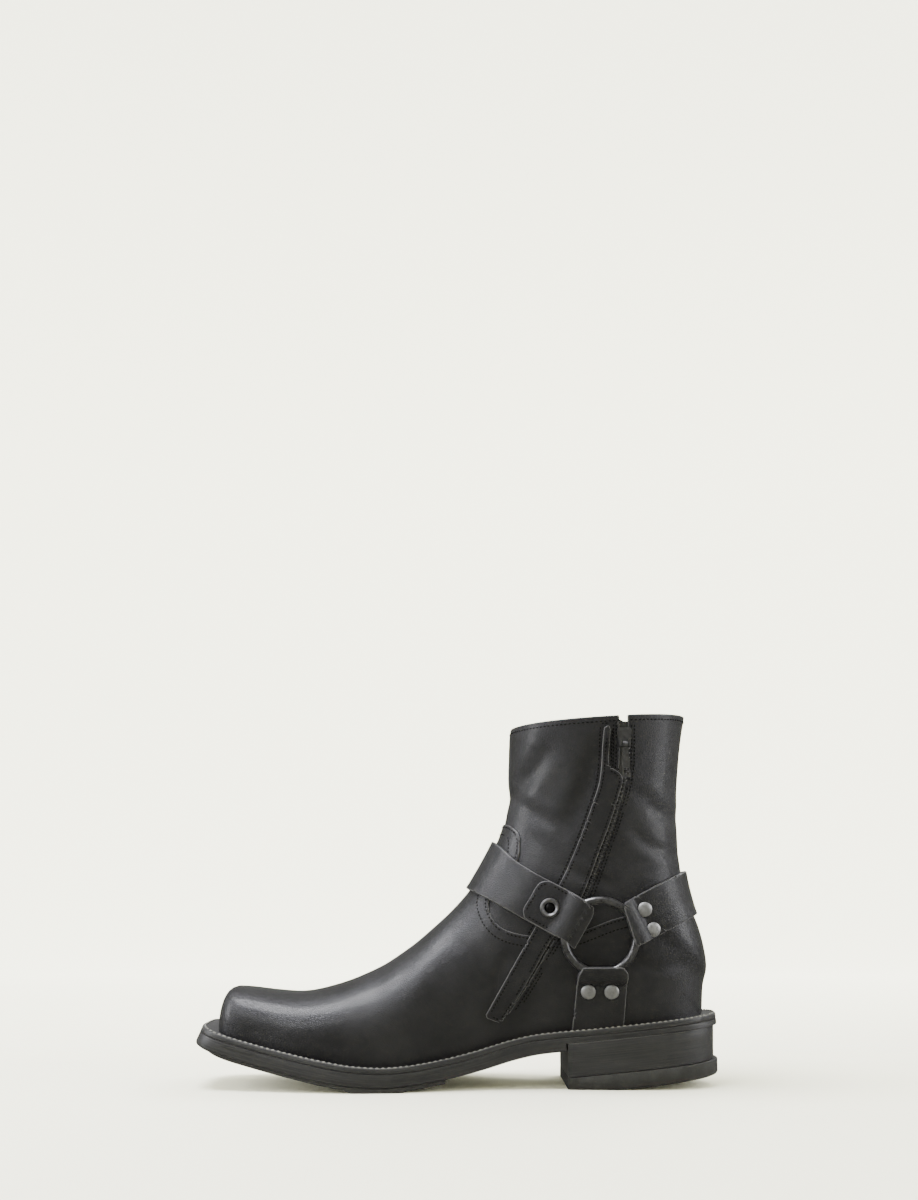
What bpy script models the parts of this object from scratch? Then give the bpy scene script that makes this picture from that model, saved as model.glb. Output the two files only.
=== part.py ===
"""A men's harness boot for the right foot, toe towards -X, inner side towards -Y.

The tables are in millimetres and give one row for each section or station.
They are graded to the driving dimensions below and turned into metres as the
meshes are made.  The origin is on the floor, under the middle of the boot.
"""
import math

import bmesh
import bpy
from mathutils import Matrix, Vector
from mathutils.bvhtree import BVHTree

NAME = "harness_boot"
MM = 0.001

# Driving dimensions
UPPER_LENGTH = 288.2
BALL_WIDTH = 97.0
BACK_HEIGHT = 218.4
WALL = 1.6
VAMP_STEP = 1.0
GAP = 0.3

# The pattern that the tables were drawn for
PATTERN_LENGTH = 288.2
PATTERN_BALL = 97.0
PATTERN_BACK = 218.4

# Sole
SOLE_TOE = -150.6
SOLE_HEEL = 153.1
WELT_DEPTH = 3.2
OUTSOLE_TOP = 3.5
TREAD_TOP = 11.3
TREAD_DEPTH = 13.9
TREAD_BACK = -8.0
WAIST_DEPTH = 11.8
SEAT_DEPTH = 6.6
BREAST_X = 63.0
BREAST_ROOM = 1.7
WELT_ROOM_ENDS = 1.9
WELT_ROOM_SIDES = 3.2
INSOLE_RISE = 0.4
INSOLE_INSET = 3.4
SOLE_NOSE = 20.0
SOLE_ROUND = 43.0
TREAD_INSET = 3.0
TREAD_EDGE = 1.0
TREAD_FLAT = (-64.0, -30.0)
HEEL_BACK = 152.0
LIFT_BACK = 154.4
HEEL_EDGE = 0.5
HEEL_MARKS = (63.0, 72.0, 82.0, 92.0, 101.0)

# Rings and straps
RING_X = 81.3
RING_Z = 88.0
RING_RADIUS = 20.8
RING_WIRE = 2.3
RING_SEAT = 5.2
TUNNEL_WIRE = 2.65
FOLD_REACH = 14.5
STRAP_INNER = VAMP_STEP + GAP
FRONT_OUTER = 4.1
TAB_OUTER = 6.1
BACK_OUTER = 3.7
FOLD_COVER = 4.2
RING_TURNS = 36
RING_FACETS = 8
STUD_STEPS = 14
STUD_SEAT = 0.45

# Zip
SLIT_HALF = 5.0
TAPE_HALF = 4.6
GUARD_OUTER = 2.2
SLIDER_X = 96.0
SLIDER_SEAT_Z = 201.0
SLIDER_OUT = (2.0, 4.4)
EAR_OUT = (3.4, 7.7)
BAR_OUT = 6.7
BAR_HALF = 0.6
BAR_SPAN = (93.5, 98.5)
BAR_Z = 198.6
PULL_HALF = 0.75
EYE_RADIUS = 1.9
EYE_WIDTH = 2.8
BORE_RADIUS = 1.2

BLACK_LEATHER = (0.020, 0.020, 0.021)
BLACK_EDGE = (0.030, 0.030, 0.031)
GUNMETAL = (0.22, 0.22, 0.23)
BLACK_METAL = (0.05, 0.05, 0.055)

# Top edge of the welt, seen from the side: x, height
SOLE_LINE = (
    (-160.0, 40.8), (-140.0, 32.4), (-120.0, 27.0), (-100.0, 22.2),
    (-80.0, 18.0), (-60.0, 14.8), (-45.0, 13.9), (-30.0, 14.7),
    (-10.0, 17.6), (10.0, 22.2), (30.0, 28.0), (45.0, 31.2),
    (60.0, 32.9), (80.0, 34.7), (100.0, 36.9), (125.0, 39.7),
    (160.0, 43.4),
)

# Edge of the sole in plan: x, inner half width, outer half width
SOLE_PLAN = (
    (-152.0, 36.0, 36.5), (-140.0, 38.5, 39.5), (-120.0, 43.5, 46.0),
    (-100.0, 47.5, 51.0), (-75.0, 52.0, 55.5), (-60.0, 53.3, 57.0),
    (-40.0, 52.0, 58.0), (-20.0, 46.5, 56.5), (0.0, 40.8, 52.0),
    (20.0, 37.0, 46.5), (40.0, 35.2, 41.8), (60.0, 35.2, 38.8),
    (80.0, 36.4, 37.8), (110.0, 37.6, 37.6), (160.0, 37.6, 37.6),
)

# Edge of the upper at the feather line: x, inner half width, outer half width
FEATHER_PLAN = (
    (-145.0, 30.5, 31.5), (-120.0, 36.0, 39.0), (-100.0, 40.7, 44.0),
    (-75.0, 45.0, 48.5), (-60.0, 46.4, 50.2), (-40.0, 45.0, 51.0),
    (-20.0, 39.3, 49.5), (0.0, 34.0, 45.0), (20.0, 30.0, 39.5),
    (40.0, 28.4, 35.0), (60.0, 28.4, 32.4), (80.0, 29.6, 31.0),
    (105.0, 31.0, 31.0), (150.0, 31.0, 31.0),
)
TOE_TIP = -140.8
FEATHER_HEEL = 143.8
NOSE_PLAN = 21.0
NOSE_RISE = 9.0

# Sections of the upper, fanned round the instep: where each meets the ridge
# (top_x, top_z), where it meets the sole or the back seam (foot_x, foot_z, None
# where it follows the feather line), how far up it is widest, its half widths
# inside and outside, how square its crown is, and the ridge's lean inward
SECTIONS = (
    (-124.0, 55.9, -124.0, None, 0.26, 36.4, 39.2, 3.0, 0.0),
    (-108.0, 54.2, -110.0, None, 0.27, 40.0, 43.2, 2.8, 0.0),
    (-91.0, 53.6, -95.0, None, 0.28, 43.8, 47.0, 2.6, -1.0),
    (-73.0, 57.4, -80.0, None, 0.28, 46.4, 50.0, 2.4, -2.0),
    (-56.0, 63.9, -65.0, None, 0.28, 48.0, 51.6, 2.25, -3.0),
    (-40.0, 72.1, -50.0, None, 0.28, 48.0, 52.6, 2.1, -4.0),
    (-25.0, 83.0, -35.0, None, 0.30, 46.0, 52.4, 2.0, -4.5),
    (-12.0, 94.2, -20.0, None, 0.32, 42.6, 51.0, 1.95, -4.5),
    (-1.0, 104.6, -4.0, None, 0.34, 39.6, 48.2, 1.9, -4.0),
    (7.5, 114.5, 13.0, None, 0.38, 37.3, 44.6, 1.9, -3.5),
    (14.0, 125.0, 31.0, None, 0.42, 36.0, 41.6, 1.95, -3.0),
    (19.2, 134.3, 50.0, None, 0.45, 35.7, 39.6, 2.0, -2.5),
    (23.4, 142.5, 70.0, None, 0.48, 36.1, 38.6, 2.05, -2.0),
    (26.4, 150.3, 92.0, None, 0.50, 36.8, 38.2, 2.1, -1.5),
    (28.4, 157.6, 114.0, None, 0.50, 37.2, 38.1, 2.15, -1.0),
    (29.4, 163.2, 130.0, None, 0.50, 37.5, 38.2, 2.15, -0.5),
    (29.8, 167.5, 140.0, None, 0.50, 37.8, 38.4, 2.2, 0.0),
    (30.0, 171.5, 143.8, None, 0.50, 38.0, 38.5, 2.2, 0.0),
    (30.1, 176.0, 145.3, 57.4, 0.50, 38.2, 38.7, 2.2, 0.0),
    (30.2, 180.0, 147.4, 68.5, 0.50, 38.5, 39.0, 2.2, 0.0),
    (30.3, 184.0, 146.0, 79.5, 0.50, 38.7, 39.2, 2.2, 0.0),
    (30.3, 188.0, 142.8, 92.0, 0.50, 39.0, 39.5, 2.2, 0.0),
    (30.4, 192.0, 138.3, 105.0, 0.50, 39.4, 39.9, 2.2, 0.0),
    (30.4, 196.0, 134.4, 121.0, 0.50, 39.9, 40.3, 2.2, 0.0),
    (30.4, 199.5, 132.0, 138.0, 0.50, 40.6, 41.0, 2.2, 0.0),
    (30.5, 203.0, 131.5, 158.0, 0.50, 41.6, 42.0, 2.2, 0.0),
    (30.5, 206.0, 132.0, 178.0, 0.50, 42.7, 43.0, 2.2, 0.0),
    (30.8, 209.0, 133.5, 198.0, 0.50, 43.9, 44.0, 2.2, 0.0),
    (31.1, 211.6, 136.7, 218.4, 0.50, 45.0, 45.0, 2.2, 0.0),
)
FOOT_SQUARE = 2.2
NOSE_STEPS = 7
HALF_STEPS = 11

# Outlines seen from the side: x, height
VAMP_EDGE = (
    (10.0, 156.5), (27.0, 154.2), (32.6, 151.2), (35.6, 147.4),
    (36.2, 141.5), (34.0, 131.0), (22.0, 116.0), (17.6, 108.0),
    (18.3, 101.5), (20.8, 96.6), (25.0, 92.6), (33.0, 89.6),
    (48.0, 87.6), (65.0, 88.8), (78.0, 93.4), (91.0, 98.2),
    (110.0, 102.4), (128.0, 106.0), (165.0, 110.0),
)
STRAP_FRONT = (
    (14.0, 151.5), (24.8, 141.3), (34.0, 131.6), (46.0, 123.4),
    (58.1, 117.2), (68.0, 111.8), (75.9, 106.4), (62.3, 84.6),
    (52.2, 90.1), (35.0, 99.4), (20.0, 107.6), (5.4, 115.0),
    (-6.0, 121.0),
)
TAB = (
    (80.0, 104.0), (75.9, 106.2), (68.0, 111.4), (58.1, 116.8),
    (53.2, 119.2), (48.6, 118.9), (45.6, 116.1), (42.0, 109.9),
    (38.5, 104.4), (37.7, 100.6), (39.0, 97.8), (52.2, 90.5),
    (62.3, 84.9), (66.0, 80.0),
)
STRAP_BACK = (
    (94.0, 106.6), (104.7, 112.6), (118.0, 119.3), (131.5, 125.2),
    (137.0, 126.6), (150.0, 129.0), (157.0, 102.0), (142.5, 100.4),
    (132.0, 97.0), (116.0, 89.2), (101.8, 82.2),
)
STRAP_SIDE = (
    (71.2, 70.6), (94.4, 70.6), (97.2, 66.5), (95.3, 36.9),
    (65.4, 33.7), (68.6, 66.0),
)
ZIP_LINE = (
    (97.5, 226.0), (98.0, 195.0), (96.0, 177.0), (89.8, 156.0),
    (84.0, 140.0), (73.4, 112.0), (63.5, 98.0), (53.5, 84.6),
    (41.0, 63.5), (27.5, 43.0),
)
GUARD_LEFT = (
    (83.6, 209.8), (82.0, 181.0), (77.6, 165.0), (70.6, 145.0),
    (62.6, 126.0), (50.0, 103.0), (39.0, 84.5), (26.3, 62.3),
    (14.4, 41.8),
)
GUARD_RIGHT = (
    (23.6, 38.2), (28.3, 44.0), (39.9, 62.5), (52.3, 84.0),
    (62.2, 97.6), (72.0, 112.2), (82.6, 140.0), (88.4, 156.0),
    (94.2, 175.0), (94.6, 180.0), (92.4, 183.2), (88.2, 186.0),
    (87.0, 191.0), (88.0, 210.0),
)
RIVETS_BACK = ((107.2, 103.6), (112.2, 92.0))
RIVETS_SIDE = ((74.6, 56.3), (88.0, 56.3))
RIVETS_FRONT = ((57.8, 109.1), (51.6, 98.9))
SNAP_AT = (52.4, 104.4)
SLIDER = (
    (91.6, 207.4), (92.6, 208.8), (99.2, 208.8), (100.2, 207.4),
    (99.2, 197.2), (92.8, 197.2),
)
EAR_LEFT = ((92.9, 201.6), (94.1, 201.6), (94.1, 197.5), (92.9, 197.5))
EAR_RIGHT = ((97.9, 201.6), (99.1, 201.6), (99.1, 197.5), (97.9, 197.5))
PULL = (
    (94.6, 200.0), (97.4, 200.0), (97.4, 196.0), (98.4, 188.6),
    (99.0, 179.6), (94.2, 179.6), (94.0, 188.6), (94.6, 196.0),
)
PULL_WINDOW = ((95.0, 185.0), (98.0, 185.0), (98.0, 181.0), (95.0, 181.0))

# Top and underside of the heel's top lift: x, height
LIFT_TOP = ((63.0, 6.6), (152.0, 15.9))
LIFT_LOW = ((63.0, 0.0), (92.0, 0.0), (110.0, 1.9), (130.0, 4.2), (155.0, 7.0))

# Turned profiles of the studs: radius, height
RIVET = ((0.0, 1.5), (1.87, 1.41), (3.37, 1.16), (4.3, 0.6), (4.3, 0.0), (0.0, 0.0))
SNAP = (
    (0.0, 1.3), (2.4, 1.2), (3.3, 0.8), (3.9, 1.8), (4.8, 2.1),
    (5.5, 1.5), (5.65, 0.6), (5.65, 0.0), (0.0, 0.0),
)
FRONT_AWAY = (-0.857, 0.515)
BACK_AWAY = (0.918, 0.397)
SIDE_AWAY = (0.0, -1.0)


def material(name, colour, roughness, metallic=0.0):
    """A plain Principled material."""
    result = bpy.data.materials.new(name)
    result.use_nodes = True
    shader = result.node_tree.nodes["Principled BSDF"]
    shader.inputs["Base Color"].default_value = (*colour, 1.0)
    shader.inputs["Roughness"].default_value = roughness
    shader.inputs["Metallic"].default_value = metallic
    result.diffuse_color = (*colour, 1.0)
    return result


def metres(x, y, z):
    """A pattern point, graded to the driving dimensions, in metres."""
    return Vector((
        x * UPPER_LENGTH / PATTERN_LENGTH * MM,
        y * BALL_WIDTH / PATTERN_BALL * MM,
        z * BACK_HEIGHT / PATTERN_BACK * MM,
    ))


def column(rows, key, index):
    """One column of a table at a key between its rows, without overshoot."""
    last = len(rows) - 1
    if key <= rows[0][0]:
        return rows[0][index]
    if key >= rows[last][0]:
        return rows[last][index]
    low = max(i for i in range(last) if rows[i][0] <= key)

    def rise(i):
        return (rows[i + 1][index] - rows[i][index]) / (rows[i + 1][0] - rows[i][0])

    def tangent(i):
        if i == 0 or i == last:
            return rise(min(i, last - 1))
        before, after = rise(i - 1), rise(i)
        if before * after <= 0.0:
            return 0.0
        return 2.0 * before * after / (before + after)

    span = rows[low + 1][0] - rows[low][0]
    u = (key - rows[low][0]) / span
    start, end = rows[low][index], rows[low + 1][index]
    return (
        start * (1 + 2 * u) * (1 - u) ** 2
        + end * u * u * (3 - 2 * u)
        + tangent(low) * span * u * (1 - u) ** 2
        - tangent(low + 1) * span * u * u * (1 - u)
    )


def swell(share, power):
    """Rises from 0 to 1 like the quarter of a squared circle."""
    if share >= 1.0:
        return 1.0
    return (1.0 - (1.0 - max(share, 0.0)) ** power) ** (1.0 / power)


def sole_frame(x):
    """The welt's top point at x and its upward normal in the side view."""
    step = 1.0
    z = column(SOLE_LINE, x, 1)
    slope = (column(SOLE_LINE, x + step, 1) - column(SOLE_LINE, x - step, 1)) / 2.0
    size = math.hypot(slope, 1.0)
    return z, (-slope / size, 1.0 / size)


def sole_point(x, y, depth):
    """A point of the sole, as deep under the welt's top as asked."""
    z, up = sole_frame(x)
    return metres(x - up[0] * depth, y, z - up[1] * depth)


def feather_z(x):
    """Height of the upper's lower edge, just over the outsole."""
    return column(SOLE_LINE, x, 1) - OUTSOLE_TOP + GAP


def stations(front, back, nose, heel, steps):
    """Stations along a sole outline, close together at both round ends."""
    nose_part = [front + nose * (i / 7) ** 3 for i in range(7)]
    start, stop = front + nose, back - heel
    middle = [start + (stop - start) * i / steps for i in range(steps)]
    round_part = [stop + heel * math.sin(i / 8 * math.pi / 2) for i in range(9)]
    return nose_part + middle + round_part


def half_width(plan, x, side, front, back, nose, heel):
    """Half width of an outline with a blunt toe and a round heel."""
    width = column(plan, x, 1 if side < 0 else 2)
    toe = swell((x - front) / nose, 4.0)
    seat = swell((back - x) / heel, 2.3)
    return width * toe * seat


def sole_half(x, side, front=SOLE_TOE, back=SOLE_HEEL):
    """Half width of the sole at x on one side."""
    return half_width(SOLE_PLAN, x, side, front, back, SOLE_NOSE, SOLE_ROUND)


def sole_outline(inset=0.0, front=SOLE_TOE, back=SOLE_HEEL, steps=20):
    """Stations of the sole's edge: x, inner y, outer y."""
    rows = []
    for x in stations(front, back, 17.0, SOLE_ROUND, steps):
        inner = sole_half(x, -1, front, back)
        outer = sole_half(x, 1, front, back)
        rows.append((x, -max(inner - inset, 0.0), max(outer - inset, 0.0)))
    return rows


def feather_outline(along, across, steps=20):
    """Stations of the upper's lower edge, moved outwards at the ends and sides."""
    rows = []
    for x in stations(TOE_TIP, FEATHER_HEEL, 17.0, 38.8, steps):
        share = (x - TOE_TIP) / (FEATHER_HEEL - TOE_TIP)
        inner = half_width(FEATHER_PLAN, x, -1, TOE_TIP, FEATHER_HEEL, NOSE_PLAN, 38.8)
        outer = half_width(FEATHER_PLAN, x, 1, TOE_TIP, FEATHER_HEEL, NOSE_PLAN, 38.8)
        scale = 1.0 + across / 38.0
        rows.append((x + along * (2.0 * share - 1.0), -inner * scale, outer * scale))
    return rows


def new_object(name, mesh, look, place):
    """Link a mesh as an object with its own material."""
    result = bpy.data.objects.new(name, mesh)
    if look:
        mesh.materials.append(look)
    place.objects.link(result)
    return result


def finish(bm, name, look, place):
    """Write a bmesh to a new object."""
    mesh = bpy.data.meshes.new(name)
    bm.to_mesh(mesh)
    bm.free()
    return new_object(name, mesh, look, place)


def lofted(name, rings, look, place, closed=False):
    """A closed solid through rings of four points, from a folded grid."""
    bm = bmesh.new()
    loops = rings + [rings[0]] if closed else rings
    bmesh.ops.create_grid(bm, x_segments=4, y_segments=len(loops) - 1, size=1.0)
    bm.verts.ensure_lookup_table()
    for row, ring in enumerate(loops):
        for place_in_ring in range(5):
            bm.verts[row * 5 + place_in_ring].co = ring[place_in_ring % 4]
    bmesh.ops.remove_doubles(bm, verts=bm.verts[:], dist=0.00002)
    bmesh.ops.dissolve_degenerate(bm, dist=0.00001, edges=bm.edges[:])
    open_ends = [edge for edge in bm.edges if edge.is_boundary]
    bmesh.ops.holes_fill(bm, edges=open_ends, sides=0)
    bmesh.ops.recalc_face_normals(bm, faces=bm.faces[:])
    return finish(bm, name, look, place)


def section(t):
    """The upper's section at t: 0 to 1 in the toe's nose, 1 to N along the rows."""
    if t < 1.0:
        x = TOE_TIP + (SECTIONS[0][0] - TOE_TIP) * t ** 3
        base = list(SECTIONS[0])
        rise = swell((x - TOE_TIP) / NOSE_RISE, 2.5)
        base[0] = x
        base[1] = feather_z(x) + (base[1] + 0.9 - feather_z(x)) * rise
        base[1] -= 0.9 * t ** 6
        base[2] = x
        widening = column(FEATHER_PLAN, x, 1) / column(FEATHER_PLAN, SECTIONS[0][0], 1)
        nose = swell((x - TOE_TIP) / NOSE_PLAN, 4.0)
        base[5] *= nose * widening
        base[6] *= nose * widening
    else:
        last = len(SECTIONS) - 1
        low = min(int(t - 1.0), last - 1)
        u = t - 1.0 - low
        ring = [SECTIONS[min(max(low + k, 0), last)] for k in (-1, 0, 1, 2)]
        base = []
        for index in range(9):
            cells = [row[index] for row in ring]
            if index == 3:
                cells = [feather_z(r[2]) if r[3] is None else r[3] for r in ring]
            a, b, c, d = cells
            value = b + 0.5 * u * (
                c - a + u * (2 * a - 5 * b + 4 * c - d + u * (3 * (b - c) + d - a))
            )
            base.append(value)
    on_feather = t <= feather_last()
    if on_feather:
        base[3] = feather_z(base[2])
    feet = []
    for side in (-1, 1):
        width = half_width(
            FEATHER_PLAN, base[2], side, TOE_TIP, FEATHER_HEEL, NOSE_PLAN, 38.8)
        feet.append(width if on_feather else 0.0)
    return base, feet


def feather_last():
    """The last section that ends on the feather line, as a section number."""
    return 1.0 + max(i for i, row in enumerate(SECTIONS) if row[3] is None)


def upper_point(t, across):
    """A point of the upper; across runs -1 at the inner foot to 1 at the outer."""
    base, feet = section(t)
    top_x, top_z, foot_x, foot_z, widest, inner, outer, crown, lean = base
    side = -1 if across < 0.0 else 1
    foot = feet[0] if side < 0 else feet[1]
    width = max(inner if side < 0 else outer, foot * 1.02)
    climb = 1.0 - abs(across)
    split = widest
    if width < 1e-6:
        share, half = climb, 0.0
    elif climb < split:
        end = math.acos(min((foot / width) ** (FOOT_SQUARE / 2.0), 1.0))
        angle = end * (1.0 - climb / split)
        full = math.sin(end) ** (2.0 / FOOT_SQUARE)
        share = widest * (1.0 - math.sin(angle) ** (2.0 / FOOT_SQUARE) / full)
        half = width * math.cos(angle) ** (2.0 / FOOT_SQUARE)
    else:
        angle = (climb - split) / (1.0 - split) * math.pi / 2.0
        share = widest + (1.0 - widest) * math.sin(angle) ** (2.0 / crown)
        half = width * max(math.cos(angle), 0.0) ** (2.0 / crown)
    x = foot_x + (top_x - foot_x) * share
    z = foot_z + (top_z - foot_z) * share
    y = side * half + lean * max(share - widest, 0.0) / (1.0 - widest)
    return metres(x, y, z)


def upper_surface(lift, hem=0.0, between=1):
    """The upper's outer surface as an open mesh, moved outwards by lift."""
    steps = HALF_STEPS
    marks = [i / NOSE_STEPS for i in range(NOSE_STEPS)]
    rows = (len(SECTIONS) - 1) * between
    marks += [1.0 + i / between for i in range(rows + 1)]
    bm = bmesh.new()
    wide = 2 * steps
    bmesh.ops.create_grid(bm, x_segments=wide, y_segments=len(marks) - 1, size=1.0)
    bm.verts.ensure_lookup_table()
    for row, t in enumerate(marks):
        for step in range(wide + 1):
            bm.verts[row * (wide + 1) + step].co = upper_point(t, step / steps - 1.0)
        if hem > 0.0 and t <= feather_last():
            for edge, inward in ((0, 1), (wide, -1)):
                vert = bm.verts[row * (wide + 1) + edge]
                towards = bm.verts[row * (wide + 1) + edge + inward].co - vert.co
                if towards.length > 0.0:
                    vert.co += towards.normalized() * min(hem * MM, towards.length / 2)
    bmesh.ops.remove_doubles(bm, verts=bm.verts[:], dist=0.00001)
    bmesh.ops.dissolve_degenerate(bm, dist=0.00001, edges=bm.edges[:])
    bmesh.ops.triangulate(bm, faces=bm.faces[:])
    bmesh.ops.recalc_face_normals(bm, faces=bm.faces[:])
    middle = Vector((0.09, 0.0, 0.15))
    facing = sum(f.normal.dot(f.calc_center_median() - middle) for f in bm.faces)
    if facing < 0.0:
        bmesh.ops.reverse_faces(bm, faces=bm.faces[:])
    bm.normal_update()
    moves = [(v, v.normal.copy()) for v in bm.verts]
    for vert, normal in moves:
        vert.co += normal * lift * MM
    return bm


def shell(name, inner, outer, look, place, hem=0.0):
    """A closed layer of leather between two lifts from the upper's surface."""
    result = finish(upper_surface(inner, hem), name, look, place)
    wall = result.modifiers.new("Wall", "SOLIDIFY")
    wall.thickness = (outer - inner) * MM
    wall.offset = 1.0
    bake(result)
    return result


def prism(name, outline, place, low_y=-90.0, high_y=90.0):
    """A cutter with a side-view outline, running across the boot."""
    bm = bmesh.new()
    verts = [bm.verts.new(metres(x, low_y, z)) for x, z in outline]
    face = bm.faces.new(verts)
    pushed = bmesh.ops.extrude_face_region(bm, geom=[face])["geom"]
    shift = metres(0.0, high_y - low_y, 0.0)
    moved = [item for item in pushed if isinstance(item, bmesh.types.BMVert)]
    bmesh.ops.translate(bm, verts=moved, vec=shift)
    bmesh.ops.recalc_face_normals(bm, faces=bm.faces[:])
    result = finish(bm, name, None, place)
    result.hide_render = True
    result.display_type = "WIRE"
    return result


def bake(target):
    """Apply an object's modifiers to its mesh."""
    depsgraph = bpy.context.evaluated_depsgraph_get()
    mesh = bpy.data.meshes.new_from_object(target.evaluated_get(depsgraph))
    old = target.data
    target.modifiers.clear()
    target.data = mesh
    bpy.data.meshes.remove(old)


def cut(target, cutter, operation):
    """Apply one exact Boolean and drop the cutter."""
    step = target.modifiers.new("Cut", "BOOLEAN")
    step.operation = operation
    step.solver = "EXACT"
    step.object = cutter
    bake(target)
    bpy.data.objects.remove(cutter)
    tidy(target)


def tidy(target):
    """Weld slivers that a cut leaves."""
    bm = bmesh.new()
    bm.from_mesh(target.data)
    bmesh.ops.remove_doubles(bm, verts=bm.verts[:], dist=0.00002)
    bmesh.ops.dissolve_degenerate(bm, dist=0.00001, edges=bm.edges[:])
    bm.to_mesh(target.data)
    bm.free()


def band(line, half):
    """Outline of a strip of even width about a line of points."""
    left, right = [], []
    for i, (x, z) in enumerate(line):
        before = line[max(i - 1, 0)]
        after = line[min(i + 1, len(line) - 1)]
        along = Vector((after[0] - before[0], after[1] - before[1])).normalized()
        left.append((x - along.y * half, z + along.x * half))
        right.append((x + along.y * half, z - along.x * half))
    return left + right[::-1]


def vamp_region(grow=0.0):
    """Everything under the vamp's edge, seen from the side."""
    edge = [(x, z + grow) for x, z in VAMP_EDGE]
    return edge + [(165.0, 0.0), (-165.0, 0.0), (-165.0, 120.0), (-20.0, 150.0)]


def make_sole(parts):
    """Welt, outsole, tread, stacked heel, top lift and insole."""
    leather = material("sole leather", BLACK_EDGE, 0.45)
    rubber = material("heel rubber", BLACK_EDGE, 0.7)
    insole = material("insole leather", (0.05, 0.045, 0.04), 0.6)
    edge = sole_outline()
    inner = feather_outline(WELT_ROOM_ENDS, WELT_ROOM_SIDES)

    rings = []
    for side in (1, 2):
        order = range(len(edge)) if side == 1 else range(len(edge) - 2, 0, -1)
        for i in order:
            out, into = edge[i], inner[i]
            rings.append([
                sole_point(out[0], out[side], 0.0),
                sole_point(into[0], into[side], 0.0),
                sole_point(into[0], into[side], WELT_DEPTH),
                sole_point(out[0], out[side], WELT_DEPTH),
            ])
    lofted("welt", rings, leather, parts, closed=True)

    rings = []
    for x, y_in, y_out in edge:
        if x < BREAST_X:
            depth = WAIST_DEPTH if x > TREAD_BACK else TREAD_TOP
        else:
            depth = SEAT_DEPTH
        rings.append((x, y_in, y_out, depth))
    stepped = []
    for i, row in enumerate(rings):
        if i and row[3] != rings[i - 1][3]:
            x = BREAST_X - BREAST_ROOM if row[3] == SEAT_DEPTH else TREAD_BACK
            y_in, y_out = -sole_half(x, -1), sole_half(x, 1)
            stepped.append((x - GAP, y_in, y_out, rings[i - 1][3]))
            stepped.append((x, y_in, y_out, row[3]))
        stepped.append(row)
    lofted("outsole", [
        [sole_point(x, a, OUTSOLE_TOP), sole_point(x, b, OUTSOLE_TOP),
         sole_point(x, b, depth), sole_point(x, a, depth)]
        for x, a, b, depth in stepped], leather, parts)

    make_tread(parts, rubber)
    make_heel(parts, leather, rubber)

    rings = []
    for x, a, b in feather_outline(-INSOLE_INSET, -INSOLE_INSET):
        rings.append([
            sole_point(x, a, -INSOLE_RISE), sole_point(x, b, -INSOLE_RISE),
            sole_point(x, b, OUTSOLE_TOP - GAP), sole_point(x, a, OUTSOLE_TOP - GAP),
        ])
    lofted("insole", rings, insole, parts)


def make_tread(parts, rubber):
    """Thin rubber under the forefoot, flat where it stands."""
    front = SOLE_TOE + TREAD_INSET
    back = TREAD_BACK - GAP
    edge = [row for row in sole_outline(TREAD_EDGE, front) if row[0] < back - 4.0]
    a = sole_half(back, -1, front) - TREAD_EDGE
    b = sole_half(back, 1, front) - TREAD_EDGE
    rings = []
    for x, a, b in edge + [(back, -a, b)]:
        top = sole_point(x, 0.0, TREAD_TOP + GAP)
        low = sole_point(x, 0.0, TREAD_DEPTH)
        floor = max(low.z, 0.0)
        if TREAD_FLAT[0] < x < TREAD_FLAT[1]:
            floor = 0.0
        y_in, y_out = metres(0, a, 0).y, metres(0, b, 0).y
        rings.append([
            Vector((top.x, y_in, top.z)), Vector((top.x, y_out, top.z)),
            Vector((low.x, y_out, floor)), Vector((low.x, y_in, floor)),
        ])
    lofted("forefoot_tread", rings, rubber, parts)


def make_heel(parts, leather, rubber):
    """The stacked block, and the rubber lift with its back edge rolled up."""
    block, lift = [], []
    for limit, rings in ((HEEL_BACK, block), (LIFT_BACK, lift)):
        marks = list(HEEL_MARKS) + [
            limit - SOLE_ROUND * (1.0 - math.sin(i / 8 * math.pi / 2)) for i in range(1, 9)]
        for x in marks:
            a = max(sole_half(x, -1, SOLE_TOE, limit) - HEEL_EDGE, 0.0)
            b = max(sole_half(x, 1, SOLE_TOE, limit) - HEEL_EDGE, 0.0)
            split = column(LIFT_TOP, x, 1)
            if rings is block:
                top = sole_point(x, 0.0, SEAT_DEPTH + GAP).z / MM
                low = split + GAP
            else:
                top = split
                low = column(LIFT_LOW, x, 1)
            rings.append([
                metres(x, -a, top), metres(x, b, top),
                metres(x, b, low), metres(x, -a, low),
            ])
    lofted("heel_stack", block, leather, parts)
    lofted("heel_top_lift", lift, rubber, parts)


def make_upper(parts, tools):
    """The hollow upper: shaft wall, vamp layer on it, and the zip's slit."""
    look = material("upper leather", BLACK_LEATHER, 0.35)
    upper = shell("upper", -WALL, 0.0, look, parts)
    layer = shell("vamp_layer", -0.7, VAMP_STEP, look, tools, hem=1.5)
    cut(layer, prism("vamp_area", vamp_region(), tools), "INTERSECT")
    cut(upper, layer, "UNION")
    slit = prism("slit", band(ZIP_LINE, SLIT_HALF), tools, high_y=0.0)
    cut(upper, slit, "DIFFERENCE")
    return upper


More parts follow.
